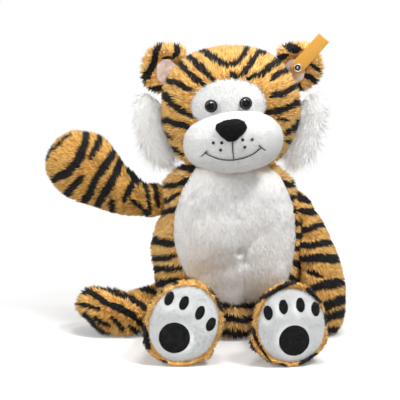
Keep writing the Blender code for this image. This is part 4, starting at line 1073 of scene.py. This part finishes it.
pupil_plastic = plastic("pupil_plastic", (0.003, 0.003, 0.004), 0.06, 0.14)
iris_plastic = plastic("iris_plastic", (0.045, 0.046, 0.050), 0.1, 0.14)
EYE_RADIUS = 6.2 * MM
for side, label in ((-1, "left"), (1, "right")):
    offset = FACE_TURN @ Vector((side * 16.5 * MM, 0, 12.7 * MM))
    start = Vector((-1.5 * MM + offset.x, -0.3, 224 * MM + offset.z))
    place, normal, _, _ = head_outer.ray_cast(start, Vector((0, 1, 0)))
    lift = 1.2 * MM
    profile = [(0, lift + 5.2 * MM)]
    for step in range(1, 15):
        angle = math.pi / 2 * step / 14
        profile.append((EYE_RADIUS * math.sin(angle), lift + 1.2 * MM + 4.0 * MM * math.cos(angle)))
    profile += [(EYE_RADIUS, lift - 1.5 * MM), (EYE_RADIUS * 0.6, -3 * MM), (0, -3 * MM)]
    eye = dome(f"eye_{label}_dome", place, normal, profile, 40)
    eye.data.materials.append(pupil_plastic)
    eye.data.materials.append(iris_plastic)
    for face in eye.data.polygons:
        out = (face.center - place).cross(normal).length / EYE_RADIUS
        face.material_index = 1 if 0.58 < out < 0.82 else 0
    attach(eye, "head")
    EYES.objects.link(eye)
    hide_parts(f"eye_{label}")

washer_plastic = plastic("washer_plastic_body", (0.75, 0.75, 0.72), 0.4)
for node in ("eye_washer_left", "eye_washer_right"):
    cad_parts[node].data.materials.clear()
    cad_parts[node].data.materials.append(washer_plastic)


# Ears: striped plush discs with a hollow front, sewn to the sides of the head, each lined with a patch of
# pinkish satin that shows the weave.
SATIN = cloth(
    "pink_satin_cloth", ((0.50, 0.35, 0.29), (0.70, 0.55, 0.49), (0.86, 0.77, 0.72)), roughness=0.42, sheen=0.3,
    patch=10 * MM, grain=0.5 * MM, depth=0.1 * MM,
)
EAR_FRONT = [
    (2.7, (162, 44), (156, 53), (154, 61), (150, 69), (145, 77), (144, 87)),
    (2.0, (152, 66), (149, 73), (149, 78)),
    (2.3, (175, 44), (177, 51), (173, 58)),
    (1.0, (162, 58), (168, 57), (173, 59)),
    (2.6, (150, 88), (158, 87), (168, 88)),
    (3.4, (285, 44), (292, 49), (299, 51)),
    (2.6, (277, 60), (282, 57), (287, 55)),
    (1.9, (306, 62), (313, 67), (319, 73)),
    (2.2, (303, 75), (310, 78), (318, 83)),
    (2.4, (294, 80), (298, 85), (301, 91)),
]
EAR_RIMS = {
    "left": [[(162, 88), (150, 83), (146, 72), (149, 60), (157, 51), (168, 49), (177, 55)]],
    "right": [[(284, 55), (292, 49), (303, 48), (312, 55), (317, 67), (312, 79), (300, 86), (288, 85)]],
}
EAR_SHIFTS = {"left": (2.5, 0, -0.5), "right": (-0.5, 0, 1)}
EAR_SWELLS = {
    "left": [((146, 60), 14, (2, 0, 0)), ((182, 48), 10, (3, 0, 2.5))],
    "right": [((278, 48), 8, (-2, 0, 1.5)), ((312, 88), 10, (-1.5, 0, 2))],
}
for side, label in ((-1, "left"), (1, "right")):
    ear = stuffed_form(
        f"ear_{label}_plush", (f"ear_{label}",), voxel=1.3 * MM, rounds=4, sink=1.5 * MM, seed=9 + side
    )
    lining = stuffed_form(
        f"ear_lining_{label}_satin", (f"ear_lining_{label}",), voxel=0.6 * MM, rounds=3, sink=-0.25 * MM, seed=1
    )
    points, _ = points_of(lining.data)
    points[:, 2] = points[:, 2].max() + (points[:, 2] - points[:, 2].max()) * 1.12 - 1.5 * MM
    place_points(lining.data, points - np.array((0, 0.3 * MM, 0)))
    points, _ = points_of(ear.data)
    place_points(ear.data, points + np.array(EAR_SHIFTS[label]) * MM)
    swell(ear, *EAR_SWELLS[label])
    press(ear, EAR_RIMS[label], -2.2 * MM, 4.5)
    brush(
        ear, None, ("head_cover", f"ear_lining_{label}"),
        lambda points, side=side: (points - np.array((side * 58 * MM, -2 * MM, 250 * MM))) / (28 * MM),
    )
    paint(ear, EAR_FRONT, seed=6)
    # The ears' pile takes the paler copy of the yarn too: painted light.
    ear_pile = grow_pile(
        ear, f"ear_{label}_pile", PAINTED_LIGHT_STRIPED_YARN, 1.2, 4.0 * MM, comb=0.6, clump=3.4 * MM,
        seed=17 + side,
    )
    finish_skin(ear, ear_pile, "head", STRIPED_CLOTH, "striped_plush", f"ear_{label}")
    finish_skin(lining, None, "head", SATIN, "pink_satin", f"ear_lining_{label}")


# Ear label and rivet: a bare woven tape with a finished edge, held on the right ear by a brass rivet whose cap
# is hollow in the middle; its socket shows behind the ear.
RIVET = Vector((66 * MM, -1.75 * MM, 263 * MM))
tape_cloth = bpy.data.materials.new("woven_tape")
tape_cloth.use_nodes = True
tape_tree = tape_cloth.node_tree
tape_shader = tape_tree.nodes["Principled BSDF"]
tape_shader.inputs["Roughness"].default_value = 0.7
tape_shader.inputs["Sheen Weight"].default_value = 0.3
tape_uv = tape_tree.nodes.new("ShaderNodeUVMap")
tape_uv.uv_map = "tape"
ribs = tape_tree.nodes.new("ShaderNodeTexWave")
ribs.bands_direction = "Y"
ribs.inputs["Scale"].default_value = 14
ribs.inputs["Distortion"].default_value = 3.0
ribs.inputs["Detail Scale"].default_value = 2.5
tape_tree.links.new(tape_uv.outputs[0], ribs.inputs["Vector"])
tape_shades = tape_tree.nodes.new("ShaderNodeValToRGB")
tape_shades.color_ramp.elements[0].color = (0.56, 0.25, 0.022, 1)
tape_shades.color_ramp.elements[1].color = (0.86, 0.45, 0.07, 1)
tape_tree.links.new(ribs.outputs[0], tape_shades.inputs[0])
tape_tree.links.new(tape_shades.outputs[0], tape_shader.inputs["Base Color"])
tape_bump = node_of(tape_tree, "ShaderNodeBump", Height=ribs.outputs[0], Strength=0.5, Distance=0.15 * MM)
tape_tree.links.new(tape_bump.outputs[0], tape_shader.inputs["Normal"])

bm = bmesh.new()
tape_layer = bm.loops.layers.uv.new("tape")
TAPE_ROWS, TAPE_COLUMNS = 30, 16
TAPE_HALF_WIDTH = 6.7 * MM
grid = []
for row in range(TAPE_ROWS + 1):
    along = row / TAPE_ROWS
    line = []
    for column in range(TAPE_COLUMNS + 1):
        across = column / TAPE_COLUMNS - 0.5
        bow = (-1.2 * math.sin(along * math.pi * 0.9) - 0.5 * math.cos(across * math.pi)) * MM
        start = -math.sqrt(max(TAPE_HALF_WIDTH ** 2 - (2 * across * TAPE_HALF_WIDTH) ** 2, 0))
        line.append(bm.verts.new((2 * across * TAPE_HALF_WIDTH, bow, start + (39.5 * MM - start) * along)))
    grid.append(line)
for row in range(TAPE_ROWS):
    for column in range(TAPE_COLUMNS):
        corners = (grid[row][column], grid[row][column + 1], grid[row + 1][column + 1], grid[row + 1][column])
        face = bm.faces.new(corners)
        for loop, (u, v) in zip(face.loops, ((0, 0), (1, 0), (1, 1), (0, 1))):
            loop[tape_layer].uv = ((column + u) / TAPE_COLUMNS, (row + v) / TAPE_ROWS)
bmesh.ops.transform(
    bm, matrix=Matrix.Translation(RIVET) @ Matrix.Rotation(math.radians(41), 4, "Y"), verts=bm.verts
)
tape = object_of(bm, "ear_label_tape")
wall = tape.modifiers.new("wall", "SOLIDIFY")
wall.thickness = 0.7 * MM
wall.offset = 0
settled(tape)
tape.data.materials.append(tape_cloth)
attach(tape, "head")
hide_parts("ear_label")

brass = bpy.data.materials.new("brass")
brass.use_nodes = True
brass_tree = brass.node_tree
brass_shader = brass_tree.nodes["Principled BSDF"]
brass_shader.inputs["Metallic"].default_value = 1
brass_where = brass_tree.nodes.new("ShaderNodeTexCoord").outputs["Object"]
brass_cloud = node_of(brass_tree, "ShaderNodeTexNoise", Vector=brass_where, Scale=1 / (0.8 * MM), Detail=3.0)
brass_shades = brass_tree.nodes.new("ShaderNodeValToRGB")
brass_shades.color_ramp.elements[0].color = (0.38, 0.34, 0.27, 1)
brass_shades.color_ramp.elements[1].color = (0.72, 0.69, 0.60, 1)
brass_tree.links.new(brass_cloud.outputs[0], brass_shades.inputs[0])
brass_tree.links.new(brass_shades.outputs[0], brass_shader.inputs["Base Color"])
brass_worn = brass_tree.nodes.new("ShaderNodeMapRange")
brass_worn.inputs["To Min"].default_value = 0.18
brass_worn.inputs["To Max"].default_value = 0.36
brass_tree.links.new(brass_cloud.outputs[0], brass_worn.inputs["Value"])
brass_tree.links.new(brass_worn.outputs[0], brass_shader.inputs["Roughness"])

forward = Vector((0, -1, 0))
cap = dome(
    "rivet_cap_brass", Vector((RIVET.x, -3.4 * MM, RIVET.z)), forward,
    [(r * MM, h * MM) for r, h in (
        (0, 0.9), (0.7, 0.85), (1.1, 0.3), (1.2, 0.1), (2.6, 0.1), (2.8, 0.6), (3.1, 1.4), (3.6, 1.55), (4.0, 1.25),
        (4.3, 0.5), (4.2, -0.2), (1.5, -0.3),
        (1.4, -8), (0, -8))],
    40,
)
# The hollow ring of the cap is near black: painted shade for the hollow, not a colour of the brass.
rivet_hollow_shade = plastic("dark_brass_hollow", (0.02, 0.018, 0.014), 0.35)
cap.data.materials.append(brass)
cap.data.materials.append(rivet_hollow_shade)
# Faces in the hollow ring take the painted shade.
for face in cap.data.polygons:
    out = (face.center - Vector((RIVET.x, 0, RIVET.z))).xz.length
    face.material_index = 1 if 1.05 * MM < out < 2.75 * MM and -4.5 * MM < face.center.y < -3.3 * MM else 0
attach(cap, "head")
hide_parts("ear_rivet_cap")
back_cap = dome(
    "rivet_socket_brass", Vector((RIVET.x, 12.6 * MM, RIVET.z)), -forward,
    [(r * MM, h * MM) for r, h in ((0, 1.9), (1.5, 1.9), (3.2, 2.3), (4.0, 2.0), (4.3, 1.2), (4.3, 0), (0, -1.5))], 40,
)
back_cap.data.materials.append(brass)
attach(back_cap, "head")
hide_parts("ear_rivet_socket")


# Cheek tufts: pads of long shaggy white pile sewn in behind the cheeks. The pile hangs down and curls in
# towards the neck, longest at the bottom edge.
LONG_TUFT = tuft("long_tuft", lift=(0.0, 0.35, 0.7, 1.0), girth=(1.0, 0.9, 0.6, 0.0), bend=0.3)
LONG_YARN = dyed(
    long_white_yarn=(0.93, 0.93, 0.92), long_pale_yarn=(1.0, 1.0, 0.99), long_grey_yarn=(0.76, 0.76, 0.74)
) * 2
for side, label in ((-1, "left"), (1, "right")):
    pad = stuffed_form(
        f"cheek_tuft_{label}_pad", (f"cheek_tuft_{label}",), voxel=1.8 * MM, rounds=8, sink=4.0 * MM, seed=20 + side
    )

    points, _ = points_of(pad.data)
    points[:, 1] += 7 * MM * np.clip((82 * MM - side * points[:, 0]) / (16 * MM), 0, 1)
    place_points(pad.data, points)

    def hanging(points, side=side):
        """Down, turning from inwards over the top edge to outwards and in again at the bottom."""
        low = np.clip((244 * MM - points[:, 2]) / (74 * MM), 0, 1)
        top = np.clip((points[:, 2] - 226 * MM) / (16 * MM), 0, 1)
        inner = np.clip((70 * MM - side * points[:, 0]) / (10 * MM), 0, 1)
        across = side * (0.5 - 0.9 * low - 1.6 * top * inner)
        return np.stack((across, -0.1 + 0 * low, -0.9 + 1.4 * top * inner), axis=1)

    def longest_below(points):
        return 0.55 + 0.6 * np.clip((215 * MM - points[:, 2]) / (45 * MM), 0, 1)

    brush(pad, None, ("head_cover",), hanging, longest_below)
    plain(pad)
    tuft_pile = grow_pile(
        pad, f"cheek_tuft_{label}_pile", LONG_YARN, 1.1, 15 * MM, width=0.24 * MM, comb=1.1, ruffle=2.4, spread=0.7,
        shape=LONG_TUFT, curl=0.8, clump=5 * MM, gather=0.8, dome=0.9, soften=0.6, seed=30 + side,
    )
    TUFTS.objects.link(tuft_pile)
    finish_skin(pad, tuft_pile, "head", WHITE_CLOTH, "long_white_plush", f"cheek_tuft_{label}")


# Arms: striped plush mitts without fingers, pinched where they are sewn to the shoulders. The left one is
# raised and the right one hangs along the side; the stripes go round them.
# The raised left arm takes a darker copy of the striped yarn: painted shade, for the shade that it sits in.
PAINTED_SHADE_STRIPED_YARN = [
    *dyed(
        shaded_gold_yarn=(0.70, 0.37, 0.068), shaded_light_gold_yarn=(0.93, 0.61, 0.21),
        shaded_brown_yarn=(0.37, 0.16, 0.024),
    ),
    *BLACK_YARNS,
]
ARM_STRIPES = {
    "left": [
        (2.2, (47, 162), (50, 154), (55, 145)),
        (1.4, (55, 152), (63, 143), (72, 135)),
        (3.8, (87, 130), (86, 146), (80, 159), (71, 171), (54, 180)),
        (2.4, (102, 134), (98, 148), (91, 159)),
        (3.2, (66, 198), (74, 187), (84, 176)),
        (3.6, (116, 150), (107, 164), (99, 176), (92, 192), (82, 206)),
        (3.4, (122, 156), (119, 169), (110, 187), (95, 210)),
        (2.6, (128, 167), (133, 176), (139, 186)),
        (2.8, (134, 182), (130, 192), (125, 202)),
        (2.4, (112, 198), (114, 206), (114, 216)),
        (2.2, (138, 176), (146, 186), (150, 200), (150, 214)),
        (2.2, (150, 180), (157, 190), (160, 206)),
        (1.8, (132, 200), (142, 206), (148, 216)),
    ],
    "right": [
        (2.7, (286, 178), (298, 182), (306, 192)),
        (2.7, (292, 190), (301, 199), (310, 202)),
        (2.9, (298, 210), (310, 211), (322, 208)),
        (2.9, (296, 230), (310, 228), (326, 222)),
        (3.1, (298, 246), (314, 244), (334, 240)),
        (4.0, (300, 259), (318, 258), (342, 258)),
        (1.8, (306, 270), (314, 273), (322, 277)),
        (3.6, (304, 288), (322, 285), (348, 280)),
        (4.0, (318, 310), (332, 302), (350, 294)),
        (3.6, (318, 321), (332, 315), (350, 308)),
        (2.9, (308, 334), (324, 330), (344, 326)),
    ],
}
ARM_WRINKLES = {
    "left": [
        [(160, 190), (148, 184), (136, 180)], [(160, 199), (146, 198), (134, 192)], [(160, 207), (146, 209), (132,
        206)],
    ],
    "right": [[(298, 184), (296, 200)], [(304, 268), (318, 276), (330, 276)], [(300, 236), (312, 238)]],
}
ARM_WAY = {"left": (-0.92, 0, 0.35), "right": (0.3, -0.3, -0.9)}
ARM_SWELLS = {
    "left": [
        ((56, 185), 16, (6, 0, 4.5)), ((124, 166), 15, (-4.6, 0, -9)), ((103, 138), 12, (1, 0, 4.5)),
        ((75, 136), 13, (0, 0, 2)), ((148, 208), 13, (0, 0, -2)), ((150, 182), 8, (0, 0, -3)),
    ],
    "right": [((308, 214), 18, (2.5, 0, 2)), ((296, 190), 8, (0, 0, 5))],
}
SHOULDERS = {"left": (-77 * MM, 2 * MM, 128.5 * MM), "right": (63 * MM, 4 * MM, 116 * MM)}
for label in ("left", "right"):
    arm = stuffed_form(
        f"arm_{label}_plush", (f"arm_{label}_cover", f"arm_{label}_stuffing"), voxel=1.8 * MM, rounds=20,
        sink=1.2 * MM, seed=40
    )
    points, _ = points_of(arm.data)
    way = np.array(ARM_WAY[label]) / np.linalg.norm(ARM_WAY[label])
    root = np.array(SHOULDERS[label])
    along = (points - root) @ way
    aside = points - root - along[:, None] * way
    pinch = 0.08 * np.clip(1 - along / (26 * MM), 0, 1) ** 1.5
    place_points(arm.data, points - aside * pinch[:, None] * (label == "left"))
    swell(arm, *ARM_SWELLS[label])
    press(arm, ARM_WRINKLES[label], 2.2 * MM, 2.6)
    if label == "right":
        press(arm, [[(301, 212), (300, 232), (300, 255)]], -2.6 * MM, 6.0)
    brush(arm, None, ("torso_cover", "torso_stuffing", "tail_cover"), ARM_WAY[label])
    paint(arm, ARM_STRIPES[label], seed=7)
    # The left arm's darker yarn is painted shade; the right arm takes the plain striped yarn.
    yarns = PAINTED_SHADE_STRIPED_YARN if label == "left" else STRIPED_YARN
    arm_pile = grow_pile(
        arm, f"arm_{label}_pile", yarns, 1.25, 4.6 * MM, comb=1.1, ruffle=1.3, clump=3 * MM, gather=0.7,
        dome=0.9, seed=41,
    )
    finish_skin(
        arm, arm_pile, "arm_" + label, STRIPED_CLOTH, "striped_plush", f"arm_{label}_cover", f"arm_{label}_stuffing"
    )


# Legs: striped plush tubes that spring from the hips, each closed by a flat white sole in a seam. The soles
# carry one round heel pad and four oval toe pads of black velour.
def broken_rings(start, end, seed):
    """Bands that go round a leg, broken here and there."""
    way = np.array(end - start) / (end - start).length
    span = (end - start).length

    def bands(points, normals):
        drift = wander(points, 26 * MM, seed)
        along = (points - np.array(start)) @ way + drift[:, 0] * 7 * MM
        wave = np.cos(along / (17 * MM) * math.tau)
        gap = np.clip((drift[:, 1] + 0.28) * 4, 0, 1)
        return np.clip((wave - 0.35) * 2.5, 0, 1) * gap * np.clip((span - 12 * MM - along) / (3 * MM), 0, 1)

    return bands


FOOT_STROKES = {
    "left": [
        (1.4, (162, 293), (167, 285), (179, 283)), (2.8, (143, 322), (145, 333), (149, 348)),
        (1.2, (206, 286), (214, 295), (219, 306), (222, 312)), (1.2, (158, 360), (167, 363)),
    ],
    "right": [
        (2.0, (252, 315), (257, 302), (265, 295), (274, 291), (287, 284), (296, 282)),
        (2.4, (307, 288), (314, 295), (321, 302)),
        (1.3, (246, 322), (248, 334), (252, 346), (260, 358)), (1.2, (252, 326), (255, 338), (262, 350), (270, 360)),
        (1.8, (264, 361), (276, 365), (286, 365)), (2.2, (300, 364), (310, 358), (315, 353)),
        (1.6, (324, 314), (328, 326)),
    ],
}
FOOT_SWELLS = {
    "left": [((150, 348), 15, (-5, 0, -1)), ((208, 356), 9, (4, 0, -1))],
    "right": [((256, 348), 15, (-7, 0, -1)), ((322, 344), 11, (4, 0, 0)), ((283, 284), 26, (0, 0, 1.0))],
}
SOLE_HALF_WIDTH = 32.4 * MM
SOLE_HALF_HEIGHTS = {"left": 37.0 * MM, "right": 35.2 * MM}
LEGS = {
    "left": (Vector((-46 * MM, -60 * MM, 32 * MM)), Vector((-45.2 * MM, -145 * MM, 41.0 * MM)), math.radians(23)),
    "right": (Vector((39 * MM, -60 * MM, 32 * MM)), Vector((57.3 * MM, -145 * MM, 39.6 * MM)), math.radians(-5)),
}
PAD_PLACES = {
    "left": ((174.4, 337.9), (169.2, 298.4), (184.1, 303.0), (200.0, 312.8), (210.9, 324.3)),
    "right": ((294.4, 340.7), (268.2, 312.8), (283.5, 306.9), (300.4, 304.9), (315.6, 309.0)),
}
PAD_PROFILE = ((0.0, 1.3), (0.35, 1.28), (0.65, 1.2), (0.85, 1.05), (0.95, 0.8), (1.0, 0.35), (0.99, -0.8))
SOLE_CLOTH = cloth(
    "sole_velour_cloth", ((0.66, 0.67, 0.67), (0.72, 0.73, 0.73), (0.76, 0.77, 0.77)), sheen=0.2, patch=14 * MM,
    grain=0.7 * MM,
    depth=0.15 * MM
)
SOLE_YARN = [yarn("sole_yarn", (0.68, 0.69, 0.69)), yarn("pale_sole_yarn", (0.79, 0.80, 0.80))] * 3
for label, (hip, sole_centre, roll) in LEGS.items():
    body = "leg_" + label
    sole_half_height = SOLE_HALF_HEIGHTS[label]
    out = (sole_centre - hip).normalized()
    raised = Matrix.Rotation(roll, 3, "Y") @ Vector((0, 0, 1))
    up = (raised - raised.dot(out) * out).normalized()
    aside = up.cross(out)
    basis = Matrix((aside, -out, up)).transposed().to_4x4()
    leg = stuffed_form(
        f"leg_{label}_plush", (f"{body}_cover", f"{body}_stuffing", f"sole_{label}"), voxel=1.8 * MM, rounds=12,
        sink=2.9 * MM, seed=50
    )
    points, normals = points_of(leg.data)
    local = (points - np.array(sole_centre)) @ np.array(basis.to_3x3())
    ring = np.hypot(local[:, 0] / SOLE_HALF_WIDTH, local[:, 2] / sole_half_height)
    facing = (local[:, 1] < 12 * MM) & (local[:, 1] > -12 * MM) & (normals @ np.array(out) > 0.2)
    crown = 3.0 * MM * np.clip(1 - ring ** 2.6, 0, 1) * facing
    seam = 1.6 * MM * np.exp(-(((ring - 1) * SOLE_HALF_WIDTH / (2.2 * MM)) ** 2)) * facing
    rim = 1.6 * MM * np.clip(ring - 1, 0, 0.1) * 10 * facing
    points += np.array(out) * (crown - seam + rim)[:, None]
    if label == "right":
        behind = np.clip(-(points - np.array(sole_centre)) @ np.array(out) / (26 * MM) - 0.3, 0, 1)
        points -= 0.34 * behind[:, None] * (local[:, :1] * np.array(aside) + local[:, 2:] * np.array(up))
        points += behind[:, None] * np.array((5 * MM, 0, -7 * MM))
        points[:, 2] = np.maximum(points[:, 2], SKIN_OFF_FLOOR)
    place_points(leg.data, points)
    swell(leg, *FOOT_SWELLS[label])
    leg_outer = finder_of(leg.data)
    plug = oval_plug(
        "sole_shape", sole_centre, SOLE_HALF_WIDTH, sole_half_height, -30 * MM, 9 * MM, basis
    )
    leg, sole = cut_out(leg, plug, f"sole_{label}_velour")

    def shorter_at_sole(points):
        behind = -(points - np.array(sole_centre)) @ np.array(out)
        return np.clip(0.5 + (behind - 4 * MM) / (16 * MM), 0.5, 1)

    brush(leg, leg_outer, ("torso_cover", "tummy_panel", "torso_stuffing"), (0, -0.8, -0.5), shorter_at_sole)
    paint(leg, FOOT_STROKES[label], bands=broken_rings(hip, sole_centre, 3), seed=8)
    leg_pile = grow_pile(
        leg, f"leg_{label}_pile", STRIPED_YARN, 1.3, 4.0 * MM, width=0.32 * MM, comb=0.9, ruffle=1.3,
        seed=51,
    )
    finish_skin(leg, leg_pile, body, STRIPED_CLOTH, "striped_plush", f"{body}_cover", f"{body}_stuffing")

    def outwards(points):
        way = points - np.array(sole_centre - out * 20 * MM + up * 4 * MM)
        return way / np.linalg.norm(way, axis=1)[:, None]

    pads = [f"heel_pad_{label}", *(f"toe_pad_{label}_{k}" for k in range(1, 5))]
    brush(sole, leg_outer, pads, outwards)
    plain(sole)
    sole_pile = grow_pile(
        sole, f"sole_{label}_pile", SOLE_YARN, 1.5, 2.6 * MM, width=0.22 * MM, comb=1.1, ruffle=1.2, clump=3 * MM,
        gather=0.45, dome=0.6,
        soften=0.74, seed=52
    )
    finish_skin(sole, sole_pile, body, SOLE_CLOTH, "white_velour", f"sole_{label}")
    sole_finder = finder_of(sole.data)

    def pad(name, centre, half_width, half_height):
        """A patch of black velour laid on the sole, its edge turned in and its middle a little padded."""
        bm = bmesh.new()
        rows = []
        steps = 36
        for share, lift in PAD_PROFILE:
            row = []
            for k in range(steps if share else 1):
                angle = math.tau * k / steps
                spot = centre + aside * half_width * share * math.cos(angle)
                spot += up * half_height * share * math.sin(angle)
                hit, _, _, _ = sole_finder.ray_cast(spot + out * 20 * MM, -out)
                row.append(bm.verts.new((hit or spot) + out * lift * MM))
            rows.append(row)
        for low, high in zip(rows, rows[1:]):
            for k in range(steps):
                after = (k + 1) % steps
                if len(low) == 1:
                    bm.faces.new((low[0], high[k], high[after]))
                else:
                    bm.faces.new((low[k], high[k], high[after], low[after]))
        bm.faces.new(rows[-1])
        bmesh.ops.recalc_face_normals(bm, faces=bm.faces)
        return object_of(bm, name)

    heel, *toes = PAD_PLACES[label]
    spots = [(f"heel_pad_{label}", seen_at(leg_outer, heel)[0], 14.8 * MM, 14.8 * MM)]
    for index, place in enumerate(toes, 1):
        spots.append((f"toe_pad_{label}_{index}", seen_at(leg_outer, place)[0], 4.2 * MM, 6.9 * MM))
    for node, spot, half_width, half_height in spots:
        patch = pad(node + "_velour", spot, half_width, half_height)
        brush(patch, None, (), tuple(up))
        plain(patch)
        patch_pile = grow_pile(
            patch, node + "_nap", BLACK_NAP_YARN, 3.0, 0.8 * MM, width=0.11 * MM, comb=0.5, ruffle=1.6, seed=53
        )
        finish_skin(patch, patch_pile, body, BLACK_VELOUR, "black_velour", node)


# Tail: a thick stuffed roll of striped plush, sewn behind the left hip and curled forwards on the table.
TAIL_STRIPES = [
    (1.9, (86, 283), (94, 286), (103, 289)),
    (2.2, (106, 289), (120, 295), (132, 300), (148, 311)),
    (2.6, (78, 291), (92, 293), (104, 302), (122, 309), (136, 318), (146, 327)),
    (1.9, (80, 303), (90, 306), (100, 310)),
    (2.2, (86, 312), (93, 321), (102, 330), (116, 337)),
    (1.6, (94, 316), (102, 321), (110, 326)),
    (2.0, (112, 317), (119, 324), (126, 331)),
    (2.6, (134, 284), (144, 290), (158, 296)),
    (2.3, (130, 326), (140, 333), (150, 338)),
]
tail = stuffed_form("tail_plush", ("tail_cover", "tail_stuffing"), voxel=1.8 * MM, rounds=20, seed=60)
swell(
    tail, ((84, 325), 17, (8, 0, 6)), ((90, 293), 12, (-1, 0, 2.5)), ((134, 296), 13, (0, 0, -6)),
    ((128, 332), 14, (0, -5, -2)),
)
brush(tail, None, ("torso_cover", "torso_stuffing", "leg_left_cover"), (-0.6, -0.6, -0.2))
paint(tail, TAIL_STRIPES, seed=9)
tail_pile = grow_pile(tail, "tail_pile", STRIPED_YARN, 1.2, 5.4 * MM, seed=61)
finish_skin(tail, tail_pile, "tail", STRIPED_CLOTH, "striped_plush", "tail_cover", "tail_stuffing")
